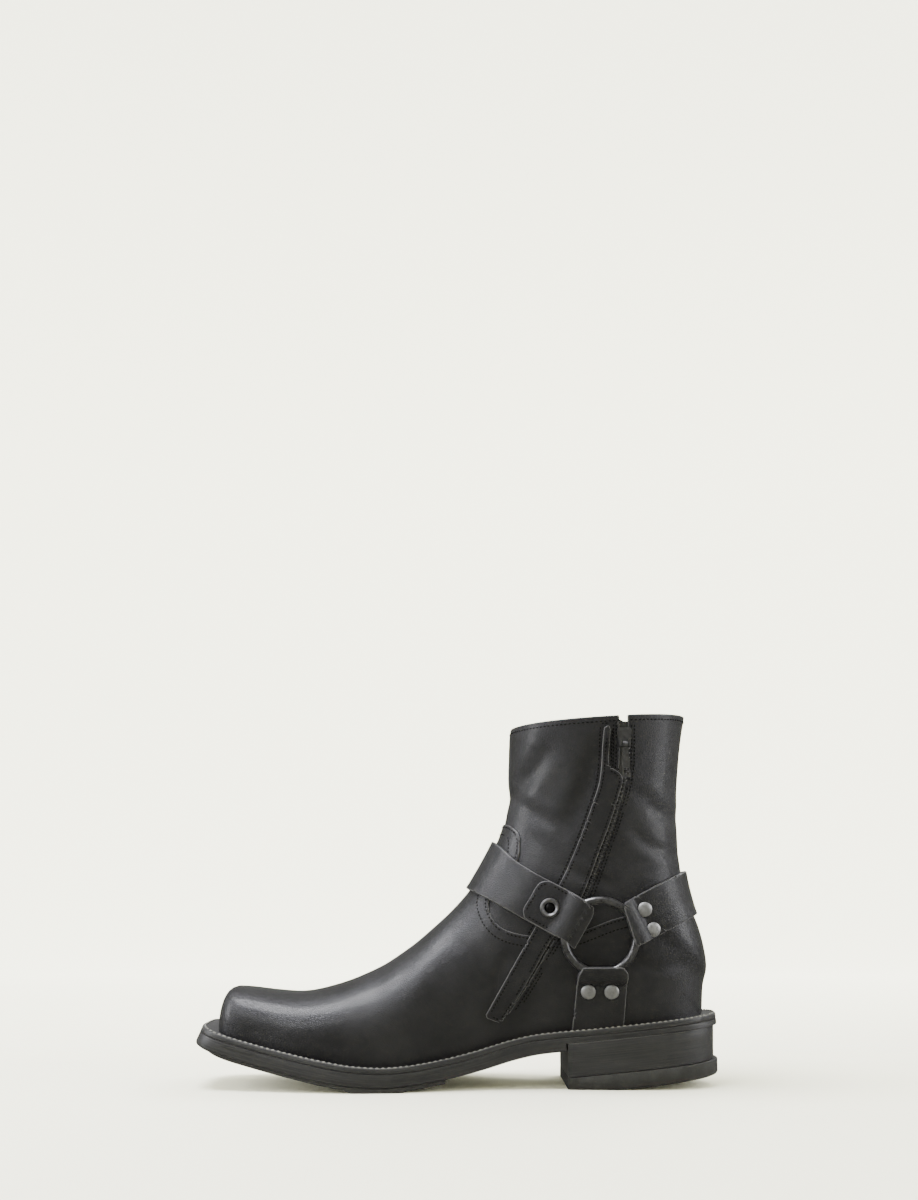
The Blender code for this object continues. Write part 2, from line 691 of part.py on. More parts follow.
def make_zip(parts, tools):
    """The zip's chain with its tape, in the slit, and the guard strip over it."""
    tape = material("zip tape", (0.012, 0.012, 0.012), 0.8)
    guard_look = material("zip guard leather", BLACK_LEATHER, 0.38)
    chain = shell("zip_chain", -1.3, -0.2, tape, parts)
    line = ((97.5, 209.5),) + ZIP_LINE[1:-1] + ((28.4, 44.4),)
    cut(chain, prism("tape_area", band(line, TAPE_HALF), tools, high_y=0.0), "INTERSECT")

    guard = shell("zip_guard", GAP, GUARD_OUTER, guard_look, parts)
    area = prism("guard_area", GUARD_LEFT[::-1] + GUARD_RIGHT[::-1], tools, high_y=0.0)
    cut(guard, area, "INTERSECT")
    layer = shell("vamp_room", -0.9, VAMP_STEP + GAP, None, tools)
    cut(layer, prism("vamp_grown", vamp_region(GAP), tools), "INTERSECT")
    cut(guard, layer, "DIFFERENCE")
    return chain, guard


def guard_room(tools):
    """The guard with clearance round it, to cut from what passes over it."""
    room = shell("guard_room", -0.5, GUARD_OUTER + GAP, None, tools)
    wide = [(x - 1.2, z) for x, z in GUARD_LEFT[::-1]]
    wide += [(x + 1.2, z) for x, z in GUARD_RIGHT[::-1]]
    cut(room, prism("guard_wide", wide, tools, high_y=0.0), "INTERSECT")
    return room


def fold(name, away, side, ring_y, low, place):
    """The leather doubled round the ring, as a wedge across the strap."""
    crest = abs(ring_y) + FOLD_COVER
    profile = (
        (FOLD_REACH, 20.0), (FOLD_REACH, crest - 4.0), (FOLD_REACH + 0.7, crest - 1.8),
        (FOLD_REACH + 2.4, crest - 0.4), (FOLD_REACH + 4.4, crest),
        (FOLD_REACH + 6.6, crest - 0.4), (FOLD_REACH + 8.6, crest - 1.8),
        (FOLD_REACH + 10.0, crest - 4.2), (FOLD_REACH + 11.0, low),
        (FOLD_REACH + 11.0, 20.0),
    )
    across = Vector((-away[1], 0.0, away[0]))
    along = Vector((away[0], 0.0, away[1]))
    bm = bmesh.new()
    centre = Vector((RING_X, 0.0, RING_Z))
    verts = []
    for reach, out in profile:
        spot = centre + along * reach + Vector((0.0, side * out, 0.0)) - across * 22.0
        verts.append(bm.verts.new(metres(*spot)))
    face = bm.faces.new(verts)
    pushed = bmesh.ops.extrude_face_region(bm, geom=[face])["geom"]
    moved = [item for item in pushed if isinstance(item, bmesh.types.BMVert)]
    bmesh.ops.translate(bm, verts=moved, vec=metres(*(across * 44.0)))
    bmesh.ops.recalc_face_normals(bm, faces=bm.faces[:])
    return finish(bm, name, None, place)


def torus(name, ring_y, wire, look, place):
    """A ring of round wire, standing in the plane of the boot's side."""
    bpy.ops.mesh.primitive_torus_add(
        major_radius=RING_RADIUS * MM, minor_radius=wire * MM,
        major_segments=RING_TURNS, minor_segments=RING_FACETS,
        location=metres(RING_X, ring_y, RING_Z),
        rotation=(math.pi / 2.0, 0.0, 0.0))
    result = bpy.context.object
    result.name = name
    for home in list(result.users_collection):
        home.objects.unlink(result)
    place.objects.link(result)
    if look:
        result.data.materials.append(look)
        result.data.shade_smooth()
    return result


def make_strap(name, outline, outer, ends, ring_ys, parts, tools, extras=()):
    """A strap draped on the upper, with its ends folded round the rings."""
    look = material(name.replace("_", " ") + " leather", BLACK_LEATHER, 0.36)
    strap = shell(name, STRAP_INNER, 13.0, look, parts)
    sides = sorted(side for side, away in ends)
    low_y = -90.0 if sides[0] < 0 else 0.0
    high_y = 90.0 if sides[-1] > 0 else 0.0
    cut(strap, prism("strap_area", outline, tools, low_y, high_y), "INTERSECT")
    limit = shell("limit", 0.4, outer, None, tools)
    for extra in extras:
        cut(limit, extra, "UNION")
    for side, away in ends:
        low = abs(ring_ys[side]) - RING_SEAT + outer - 1.2
        cut(limit, fold("fold", away, side, ring_ys[side], low, tools), "UNION")
    cut(strap, limit, "INTERSECT")
    for side, away in ends:
        room = torus("tunnel", ring_ys[side], TUNNEL_WIRE, None, tools)
        cut(strap, room, "DIFFERENCE")
    return strap


def hit(tree, x, z, side):
    """Where a level line across the boot meets a piece, and its slope there."""
    start = metres(x, side * 120.0, z)
    spot, normal, index, distance = tree.ray_cast(start, Vector((0.0, -side, 0.0)))
    return spot, normal


def tree_of(target):
    """A search tree over an object's faces."""
    bm = bmesh.new()
    bm.from_mesh(target.data)
    bm.transform(target.matrix_world)
    tree = BVHTree.FromBMesh(bm)
    bm.free()
    return tree


def button(name, tree, at, side, rows, look, parts):
    """A turned stud, seated on a strap and square to it."""
    spot, normal = hit(tree, at[0], at[1], side)
    if normal.y * side < 0.0:
        normal = -normal
    bm = bmesh.new()
    profile = [bm.verts.new((r * MM, 0.0, h * MM)) for r, h in rows]
    edges = [bm.edges.new(pair) for pair in zip(profile, profile[1:])]
    bmesh.ops.spin(
        bm, geom=profile + edges, cent=(0.0, 0.0, 0.0), axis=(0.0, 0.0, 1.0),
        angle=2.0 * math.pi, steps=STUD_STEPS, use_merge=True, use_duplicate=False)
    bmesh.ops.remove_doubles(bm, verts=bm.verts[:], dist=0.00001)
    bmesh.ops.recalc_face_normals(bm, faces=bm.faces[:])
    turn = Vector((0.0, 0.0, 1.0)).rotation_difference(normal).to_matrix().to_4x4()
    result = finish(bm, name, look, parts)
    result.data.shade_smooth()
    result.data.set_sharp_from_angle(angle=math.radians(40.0))
    result.matrix_world = Matrix.Translation(spot + normal * STUD_SEAT * MM) @ turn
    return result


def barrel(name, radius, width, y, tools):
    """A short round bar across the pull, about the slider's own bar."""
    bm = bmesh.new()
    bmesh.ops.create_cone(
        bm, cap_ends=True, segments=16, radius1=radius * MM, radius2=radius * MM,
        depth=width * MM)
    bmesh.ops.rotate(
        bm, verts=bm.verts[:], matrix=Matrix.Rotation(math.pi / 2.0, 3, "Y"))
    bmesh.ops.translate(bm, verts=bm.verts[:], vec=metres(SLIDER_X, y, BAR_Z))
    return finish(bm, name, None, tools)


def show(item, look):
    """Turn a cut-out outline into a visible piece."""
    item.hide_render = False
    item.display_type = "SOLID"
    item.data.materials.append(look)
    return item


def make_slider(parts, tools, tree):
    """The slider on the chain, its bar, and the pull that hangs from the bar."""
    spot, normal = hit(tree, SLIDER_X, SLIDER_SEAT_Z, -1)
    face_y = spot.y / MM
    body = show(
        prism("zip_slider", SLIDER, parts, face_y - SLIDER_OUT[1], face_y - SLIDER_OUT[0]),
        material("zip metal", BLACK_METAL, 0.35, 0.9))
    for outline in (EAR_LEFT, EAR_RIGHT):
        cut(body, prism(
            "ear", outline, tools, face_y - EAR_OUT[1], face_y - EAR_OUT[0]), "UNION")
    bar_y = face_y - BAR_OUT
    left, right = BAR_SPAN
    bar = (
        (left, BAR_Z + BAR_HALF), (right, BAR_Z + BAR_HALF),
        (right, BAR_Z - BAR_HALF), (left, BAR_Z - BAR_HALF),
    )
    cut(body, prism("bar", bar, tools, bar_y - BAR_HALF, bar_y + BAR_HALF), "UNION")

    pull = show(
        prism("zip_pull", PULL, parts, bar_y - PULL_HALF, bar_y + PULL_HALF),
        material("zip pull metal", BLACK_METAL, 0.35, 0.9))
    cut(pull, barrel("eye", EYE_RADIUS, EYE_WIDTH, bar_y, tools), "UNION")
    cut(pull, barrel("bore", BORE_RADIUS, 3.0 * EYE_WIDTH, bar_y, tools), "DIFFERENCE")
    window = prism("window", PULL_WINDOW, tools, bar_y - EYE_WIDTH, bar_y + EYE_WIDTH)
    cut(pull, window, "DIFFERENCE")


def centre(parts):
    """Move the boot so that the middle of its box stands on the origin."""
    bpy.context.view_layer.update()
    spots = [item.matrix_world @ vert.co for item in parts.objects
             for vert in item.data.vertices]
    low = [min(spot[axis] for spot in spots) for axis in range(3)]
    high = [max(spot[axis] for spot in spots) for axis in range(3)]
    shift = Vector((-(low[0] + high[0]) / 2.0, -(low[1] + high[1]) / 2.0, -low[2]))
    for item in parts.objects:
        item.location += shift
    return shift


def build():
    """Make every piece of the boot."""
    for item in list(bpy.data.objects):
        bpy.data.objects.remove(item)
    parts = bpy.data.collections.new(NAME)
    tools = bpy.data.collections.new("cutters")
    for group in (parts, tools):
        bpy.context.scene.collection.children.link(group)

    make_sole(parts)
    make_upper(parts, tools)
    chain, guard = make_zip(parts, tools)

    bm = upper_surface(0.0)
    skin = BVHTree.FromBMesh(bm)
    bm.free()
    ring_ys = {}
    for side in (-1, 1):
        spot, normal = hit(skin, RING_X, RING_Z, side)
        ring_ys[side] = spot.y / MM + side * RING_SEAT
    both_front = ((-1, FRONT_AWAY), (1, FRONT_AWAY))
    both_back = ((-1, BACK_AWAY), (1, BACK_AWAY))

    tab = shell("tab", 0.4, TAB_OUTER, None, tools)
    cut(tab, prism("tab_area", TAB, tools, high_y=0.0), "INTERSECT")
    front = make_strap(
        "strap_front", STRAP_FRONT, FRONT_OUTER, both_front, ring_ys, parts, tools, (tab,))
    cut(front, guard_room(tools), "DIFFERENCE")
    back = make_strap(
        "strap_back", STRAP_BACK, BACK_OUTER, both_back, ring_ys, parts, tools)
    names = {-1: "inner", 1: "outer"}
    sides = {}
    ring_look = material("ring metal", BLACK_METAL, 0.2, 1.0)
    for side, word in names.items():
        sides[side] = make_strap(
            "strap_side_" + word, STRAP_SIDE, BACK_OUTER, ((side, SIDE_AWAY),),
            ring_ys, parts, tools)
        torus("ring_" + word, ring_ys[side], RING_WIRE, ring_look, parts)

    stud = material("rivet metal", GUNMETAL, 0.5, 0.8)
    for side, word in names.items():
        rows = [
            ("back", tree_of(back), RIVETS_BACK),
            ("side", tree_of(sides[side]), RIVETS_SIDE),
        ]
        if side > 0:
            rows.append(("front", tree_of(front), RIVETS_FRONT))
        for where, tree, spots in rows:
            for number, at in enumerate(spots, 1):
                name = "rivet_%s_%s_%d" % (where, word, number)
                button(name, tree, at, side, RIVET, stud, parts)
    snap_look = material("snap metal", BLACK_METAL, 0.25, 0.9)
    button("snap_cap", tree_of(front), SNAP_AT, -1, SNAP, snap_look, parts)
    make_slider(parts, tools, tree_of(chain))
    return centre(parts)


if __name__ == "__main__":
    build()
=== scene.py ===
"""The looks of a men's black harness boot for the right foot.

Toe towards -X, inner side with the zip towards -Y.  The tables are in millimetres
and are the shoe's own: each layer of leather lies on one surface that they give, so
a panel, its rolled edge and its stitches all follow the same line.
"""

import math

import bmesh
import bpy
import numpy as np
from bpy.props import FloatProperty, FloatVectorProperty, PointerProperty
from mathutils import Matrix, Vector
from mathutils.bvhtree import BVHTree


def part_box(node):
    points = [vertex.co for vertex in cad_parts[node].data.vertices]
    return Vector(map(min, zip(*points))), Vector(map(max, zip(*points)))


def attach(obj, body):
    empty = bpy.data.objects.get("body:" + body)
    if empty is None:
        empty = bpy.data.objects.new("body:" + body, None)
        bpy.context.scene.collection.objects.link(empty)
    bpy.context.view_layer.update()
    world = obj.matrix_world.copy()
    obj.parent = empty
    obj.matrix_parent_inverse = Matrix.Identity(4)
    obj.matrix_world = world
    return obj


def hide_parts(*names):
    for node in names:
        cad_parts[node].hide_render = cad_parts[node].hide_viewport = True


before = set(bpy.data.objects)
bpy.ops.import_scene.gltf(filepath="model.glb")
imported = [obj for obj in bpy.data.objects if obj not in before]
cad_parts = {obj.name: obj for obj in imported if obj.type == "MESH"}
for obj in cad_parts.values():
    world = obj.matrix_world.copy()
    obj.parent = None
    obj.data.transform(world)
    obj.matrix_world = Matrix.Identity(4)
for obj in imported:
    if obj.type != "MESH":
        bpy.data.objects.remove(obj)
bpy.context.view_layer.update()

bl_info = {
    "name": "Harness boot",
    "version": (1, 0, 0),
    "blender": (4, 5, 0),
    "location": "View3D > Sidebar > Boot",
    "description": "Builds the leather, stitches and metal of a harness boot",
    "category": "Object",
}

MM = 0.001

# Where the tables' origin stands in the shared frame
SHIFT_X = 0.397
SHIFT_Y = -2.312

# Layers, as heights over the shaft's outer face
LINING_LIFT = -1.5
TAPE_LIFT = -0.7
VAMP_LIFT = 1.0
GUARD_LIFT = 2.1
STRAP_LIFT = 3.9
SIDE_LIFT = 3.5
TAB_LIFT = 6.0
UNDER = 0.2
VAMP_LAP = 9.0

# Sole
SOLE_TOE = -150.6
SOLE_HEEL = 153.1
SOLE_NOSE = 20.0
SOLE_ROUND = 43.0
WELT_DEPTH = 3.2
OUTSOLE_TOP = 3.5
TREAD_TOP = 11.3
TREAD_DEPTH = 13.9
TREAD_BACK = -8.0
TREAD_FLAT = (-64.0, -30.0)
SEAT_DEPTH = 6.6
BREAST_X = 63.0
HEEL_BACK = 152.0
LIFT_BACK = 154.4
GAP = 0.3

# Rings, studs and zip
RING_X = 81.3
RING_Z = 88.0
RING_RADIUS = 20.8
RING_WIRE = 2.3
FOLD_REACH = 14.2
FOLD_COVER = 4.2
SLIT_HALF = 5.0
SLIT_BEHIND = 1.1
TAPE_HALF = 4.7

FRONT_AWAY = (-0.857, 0.515)
BACK_AWAY = (0.918, 0.397)
SIDE_AWAY = (0.0, -1.0)

# How far the strap sinks under its tab, the notch at the zip's top, and the zip
UNDER_TAB = 1.8
NOTCH_FROM = 212.5
NOTCH_HALF = 4.2
TAPE_LOW = 43.0
TEETH_LOW = 44.0
TEETH_HIGH = 209.0
TOOTH = (2.0, 0.99, 0.8)
TOOTH_PITCH = 1.35
TOOTH_REACH = 0.55

# Studs, as turned profiles of radius and height
RIVET_RADIUS = 4.3
RIVET_DOME = 1.5
RIVET_FOOT = ((4.25, 0.2), (3.6, -0.1), (3.6, -0.7), (0.0, -0.7))
SNAP_RIM = (
    (2.9, 0.7), (3.3, 1.2), (3.9, 1.8), (4.6, 2.1), (5.2, 1.9), (5.55, 1.3),
    (5.65, 0.6), (5.6, -0.4), (2.9, -0.4))
SNAP_DOME = (
    (0.0, 1.9), (1.2, 1.8), (2.2, 1.5), (2.9, 1.0), (3.25, 0.4), (3.3, -0.2),
    (0.0, -0.2))

# The surface's grid
NOSE_ROWS = 18
ROWS_BETWEEN = 9
HALF_COLUMNS = 60

# Regions: what counts as one side, and the distance given to the other
SIDE_FROM = 6.0
FAR_OUT = -50.0
STRAP_INSET = 0.6

# Stitches, as insets from the edge they follow, and the painted shade at the upper's foot over
# the welt
STITCH_BATCH = 40
VAMP_SEAMS = (1.5, 6.2)
GUARD_SEAM = 1.8
ZIP_SEAMS = (-1.5, -3.2)
TAB_SEAM = 1.9
TAB_SEAM_FROM = 12.0
COLLAR_SEAM = 2.6
WELT_SEAM = 1.15
WELT_THREAD = 1.25
SEAM_TOP = 212.0
SEAM_LOW = 46.0
ZIP_PITCH = 2.1
TAB_PITCH = 2.2
COLLAR_PITCH = 2.6
WELT_SHADE_HIGH = 3.2
WELT_SHADE_FADE = 2.2

# The fold round a ring: reach past its start, and drop below its crest
FOLD_FRONT = (
    (0.0, 0.8, 2.0, 3.5, 6.0, 9.0, 13.0, 18.0), (2.6, 1.1, 0.3, 0.0, 0.3, 1.2, 3.2, 5.6))
FOLD_BACK = ((0.0, 0.8, 2.0, 4.0, 7.0, 10.0, 13.0), (2.6, 1.1, 0.3, 0.0, 0.6, 2.4, 6.0))

# Takes the pale paper's warm cast out of the reflections
COOL = (0.90, 0.90, 1.0)

# Soft lights: name, place, aim, width, length, power
LIGHTS = (
    ("overhead", (-0.35, -0.10, 1.35), (0.0, 0.0, 0.1), 0.8, 0.6, 46.0),
    ("toe_side", (-1.2, -0.15, 0.55), (0.0, 0.0, 0.12), 0.5, 0.8, 17.0),
    ("front_left", (-0.8, -1.2, 0.9), (0.0, 0.0, 0.1), 0.5, 0.5, 6.0),
    ("behind", (0.7, 1.0, 1.1), (0.0, 0.0, 0.1), 0.8, 0.4, 12.0),
    ("heel_side", (1.3, -0.15, 0.5), (0.05, 0.0, 0.12), 0.6, 0.8, 14.0),
)
FLOOR_GLOW = 3.0
GLOW_FROM = 0.1
GLOW_TO = 1.3
WORLD_GLOW = 0.3
CAMERA_LENS = 45.8
CAMERA_PITCH = 4.8
CAMERA_SHIFT = 0.1417
CAMERA_AT = (0.0004, -0.9283, 0.110)

# What is made once and used again
STORE = {}

# Top edge of the welt, seen from the side: x, height
SOLE_LINE = (
    (-160.0, 40.8), (-140.0, 32.4), (-120.0, 27.0), (-100.0, 22.2),
    (-80.0, 18.0), (-60.0, 14.8), (-45.0, 13.9), (-30.0, 14.7),
    (-10.0, 17.6), (10.0, 22.2), (30.0, 28.0), (45.0, 31.2),
    (60.0, 32.9), (80.0, 34.7), (100.0, 36.9), (125.0, 39.7),
    (160.0, 43.4),
)

# Edge of the sole in plan: x, inner half width, outer half width
SOLE_PLAN = (
    (-152.0, 36.0, 36.5), (-140.0, 38.5, 39.5), (-120.0, 43.5, 46.0),
    (-100.0, 47.5, 51.0), (-75.0, 52.0, 55.5), (-60.0, 53.3, 57.0),
    (-40.0, 52.0, 58.0), (-20.0, 46.5, 56.5), (0.0, 40.8, 52.0),
    (20.0, 37.0, 46.5), (40.0, 35.2, 41.8), (60.0, 35.2, 38.8),
    (80.0, 36.4, 37.8), (110.0, 37.6, 37.6), (160.0, 37.6, 37.6),
)

# Edge of the upper at the feather line: x, inner half width, outer half width
FEATHER_PLAN = (
    (-145.0, 30.5, 31.5), (-120.0, 36.0, 39.0), (-100.0, 40.7, 44.0),
    (-75.0, 45.0, 48.5), (-60.0, 46.4, 50.2), (-40.0, 45.0, 51.0),
    (-20.0, 39.3, 49.5), (0.0, 34.0, 45.0), (20.0, 30.0, 39.5),
    (40.0, 28.4, 35.0), (60.0, 28.4, 32.4), (80.0, 29.6, 31.0),
    (105.0, 31.0, 31.0), (150.0, 31.0, 31.0),
)
TOE_TIP = -140.8
FEATHER_HEEL = 143.8
NOSE_PLAN = 21.0
NOSE_RISE = 9.0

# Sections of the upper, fanned round the instep: where each meets the ridge
# (top_x, top_z), where it meets the sole or the back seam (foot_x, foot_z, None
# where it follows the feather line), how far up it is widest, its half widths
# inside and outside, how square its crown is, and the ridge's lean inward
SECTIONS = (
    (-124.0, 55.9, -124.0, None, 0.26, 36.4, 39.2, 3.0, 0.0),
    (-108.0, 54.2, -110.0, None, 0.27, 40.0, 43.2, 2.8, 0.0),
    (-91.0, 53.6, -95.0, None, 0.28, 43.8, 47.0, 2.6, -1.0),
    (-73.0, 57.4, -80.0, None, 0.28, 46.4, 50.0, 2.4, -2.0),
    (-56.0, 63.9, -65.0, None, 0.28, 48.0, 51.6, 2.25, -3.0),
    (-40.0, 72.1, -50.0, None, 0.28, 48.0, 52.6, 2.1, -4.0),
    (-25.0, 83.0, -35.0, None, 0.30, 46.0, 52.4, 2.0, -4.5),
    (-12.0, 94.2, -20.0, None, 0.32, 42.6, 51.0, 1.95, -4.5),
    (-1.0, 104.6, -4.0, None, 0.34, 39.6, 48.2, 1.9, -4.0),
    (7.5, 114.5, 13.0, None, 0.38, 37.3, 44.6, 1.9, -3.5),
    (14.0, 125.0, 31.0, None, 0.42, 36.0, 41.6, 1.95, -3.0),
    (19.2, 134.3, 50.0, None, 0.45, 35.7, 39.6, 2.0, -2.5),
    (23.4, 142.5, 70.0, None, 0.48, 36.1, 38.6, 2.05, -2.0),
    (26.4, 150.3, 92.0, None, 0.50, 36.8, 38.2, 2.1, -1.5),
    (28.4, 157.6, 114.0, None, 0.50, 37.2, 38.1, 2.15, -1.0),
    (29.4, 163.2, 130.0, None, 0.50, 37.5, 38.2, 2.15, -0.5),
    (29.8, 167.5, 140.0, None, 0.50, 37.8, 38.4, 2.2, 0.0),
    (30.0, 171.5, 143.8, None, 0.50, 38.0, 38.5, 2.2, 0.0),
    (30.1, 176.0, 145.3, 57.4, 0.50, 38.2, 38.7, 2.2, 0.0),
    (30.2, 180.0, 147.4, 68.5, 0.50, 38.5, 39.0, 2.2, 0.0),
    (30.3, 184.0, 146.0, 79.5, 0.50, 38.7, 39.2, 2.2, 0.0),
    (30.3, 188.0, 142.8, 92.0, 0.50, 39.0, 39.5, 2.2, 0.0),
    (30.4, 192.0, 138.3, 105.0, 0.50, 39.4, 39.9, 2.2, 0.0),
    (30.4, 196.0, 134.4, 121.0, 0.50, 39.9, 40.3, 2.2, 0.0),
    (30.4, 199.5, 132.0, 138.0, 0.50, 40.6, 41.0, 2.2, 0.0),
    (30.5, 203.0, 131.5, 158.0, 0.50, 41.6, 42.0, 2.2, 0.0),
    (30.5, 206.0, 132.0, 178.0, 0.50, 42.7, 43.0, 2.2, 0.0),
    (30.8, 209.0, 133.5, 198.0, 0.50, 43.9, 44.0, 2.2, 0.0),
    (31.1, 211.6, 136.7, 218.4, 0.50, 45.0, 45.0, 2.2, 0.0),
)
FOOT_SQUARE = 2.2

# Outlines seen from the side: x, height
VAMP_EDGE = (
    (10.0, 156.5), (27.0, 154.2), (32.6, 151.2), (35.6, 147.4),
    (36.2, 141.5), (34.0, 131.0), (22.0, 116.0), (17.6, 108.0),
    (18.3, 101.5), (20.8, 96.6), (25.0, 92.6), (33.0, 89.6),
    (48.0, 87.6), (65.0, 88.8), (78.0, 93.4), (91.0, 98.2),
    (110.0, 102.4), (128.0, 106.0), (165.0, 110.0),
)
STRAP_FRONT = (
    (14.0, 151.5), (24.8, 141.3), (34.0, 131.6), (46.0, 123.4),
    (58.1, 117.2), (68.0, 111.8), (75.9, 106.4), (62.3, 84.6),
    (52.2, 90.1), (35.0, 99.4), (20.0, 107.6), (5.4, 115.0),
    (-6.0, 121.0),
)
TAB = (
    (80.0, 104.0), (75.9, 106.2), (68.0, 111.4), (58.1, 116.8),
    (53.2, 119.2), (48.6, 118.9), (45.6, 116.1), (42.0, 109.9),
    (38.5, 104.4), (37.7, 100.6), (39.0, 97.8), (52.2, 90.5),
    (62.3, 84.9), (66.0, 80.0),
)
STRAP_BACK = (
    (94.0, 106.6), (104.7, 112.6), (118.0, 119.3), (131.5, 125.2),
    (137.0, 126.6), (150.0, 129.0), (157.0, 102.0), (142.5, 100.4),
    (132.0, 97.0), (116.0, 89.2), (101.8, 82.2),
)
STRAP_SIDE = (
    (71.2, 70.6), (94.4, 70.6), (97.2, 66.5), (95.3, 36.9),
    (65.4, 33.7), (68.6, 66.0),
)
ZIP_LINE = (
    (97.5, 226.0), (98.0, 195.0), (96.0, 177.0), (89.8, 156.0),
    (84.0, 140.0), (73.4, 112.0), (63.5, 98.0), (53.5, 84.6),
    (41.0, 63.5), (27.5, 43.0),
)
GUARD_LEFT = (
    (83.6, 209.8), (82.0, 181.0), (77.6, 165.0), (70.6, 145.0),
    (62.6, 126.0), (50.0, 103.0), (39.0, 84.5), (26.3, 62.3),
    (14.4, 41.8),
)
GUARD_RIGHT = (
    (23.6, 38.2), (28.3, 44.0), (39.9, 62.5), (52.3, 84.0),
    (62.2, 97.6), (72.0, 112.2), (82.6, 140.0), (88.4, 156.0),
    (94.2, 175.0), (94.6, 180.0), (92.4, 183.2), (88.2, 186.0),
    (87.0, 191.0), (88.0, 210.0),
)

# Top and underside of the heel's top lift: x, height
LIFT_TOP = ((63.0, 6.6), (152.0, 15.9))
LIFT_LOW = ((63.0, 0.0), (92.0, 0.0), (110.0, 1.9), (130.0, 4.2), (155.0, 7.0))

# Soft creases: side (-1 inner, 1 outer, 0 both), width, depth, and their line
CREASES = (
    (-1, 5.0, 1.3, ((53.0, 199.0), (43.0, 184.0), (27.0, 166.0))),
    (-1, 5.5, 1.2, ((80.0, 198.0), (74.0, 176.0), (62.0, 148.0))),
    (0, 4.0, 1.0, ((29.0, 172.0), (44.0, 160.0), (58.0, 152.0))),
    (-1, 3.5, 0.9, ((100.0, 150.0), (112.0, 140.0), (128.0, 136.0))),
    (0, 4.5, 0.9, ((104.0, 172.0), (118.0, 160.0), (131.0, 157.0))),
    (-1, 2.2, 0.7, ((72.0, 96.0), (80.0, 92.0), (90.0, 84.0))),
    (-1, 2.0, 0.6, ((76.0, 84.0), (84.0, 80.0), (92.0, 79.0))),
    (-1, 3.0, 0.9, ((63.0, 128.0), (74.0, 122.0), (88.0, 120.0))),
    (0, 5.0, 0.3, ((-22.0, 86.0), (-30.0, 70.0), (-36.0, 52.0))),
    (0, 5.0, 0.25, ((-38.0, 74.0), (-46.0, 60.0), (-52.0, 46.0))),
    (-1, 3.5, 0.5, ((2.0, 84.0), (12.0, 72.0), (18.0, 58.0))),
    (-1, 3.0, 0.7, ((30.0, 80.0), (24.0, 68.0), (18.0, 52.0))),
    (1, 4.5, 1.1, ((36.0, 150.0), (54.0, 142.0), (72.0, 140.0))),
    (1, 4.0, 0.9, ((44.0, 132.0), (60.0, 130.0), (78.0, 133.0))),
    (1, 4.5, 0.9, ((-14.0, 84.0), (-8.0, 66.0), (-6.0, 48.0))),
    (1, 4.0, 0.9, ((96.0, 140.0), (110.0, 132.0), (124.0, 132.0))),
    (-1, 3.0, 0.6, ((96.0, 74.0), (112.0, 70.0), (128.0, 72.0))),
)


def column(rows, key, index):
    """One column of a table at a key between its rows, without overshoot."""
    last = len(rows) - 1
    if key <= rows[0][0]:
        return rows[0][index]
    if key >= rows[last][0]:
        return rows[last][index]
    low = max(i for i in range(last) if rows[i][0] <= key)

    def rise(i):
        return (rows[i + 1][index] - rows[i][index]) / (rows[i + 1][0] - rows[i][0])

    def tangent(i):
        if i == 0 or i == last:
            return rise(min(i, last - 1))
        before, after = rise(i - 1), rise(i)
        if before * after <= 0.0:
            return 0.0
        return 2.0 * before * after / (before + after)

    span = rows[low + 1][0] - rows[low][0]
    u = (key - rows[low][0]) / span
    start, end = rows[low][index], rows[low + 1][index]
    return (
        start * (1 + 2 * u) * (1 - u) ** 2
        + end * u * u * (3 - 2 * u)
        + tangent(low) * span * u * (1 - u) ** 2
        - tangent(low + 1) * span * u * u * (1 - u)
    )


def swell(share, power):
    """Rises from 0 to 1 like the quarter of a squared circle."""
    if share >= 1.0:
        return 1.0
    return (1.0 - (1.0 - max(share, 0.0)) ** power) ** (1.0 / power)


def sole_frame(x):
    """The welt's top point at x and its upward normal in the side view."""
    step = 1.0
    z = column(SOLE_LINE, x, 1)
    slope = (column(SOLE_LINE, x + step, 1) - column(SOLE_LINE, x - step, 1)) / 2.0
    size = math.hypot(slope, 1.0)
    return z, (-slope / size, 1.0 / size)


def feather_z(x):
    """Height of the upper's lower edge, just over the outsole."""
    return column(SOLE_LINE, x, 1) - OUTSOLE_TOP + GAP


def half_width(plan, x, side, front, back, nose, heel):
    """Half width of an outline with a blunt toe and a round heel."""
    width = column(plan, x, 1 if side < 0 else 2)
    toe = swell((x - front) / nose, 4.0)
    seat = swell((back - x) / heel, 2.3)
    return width * toe * seat


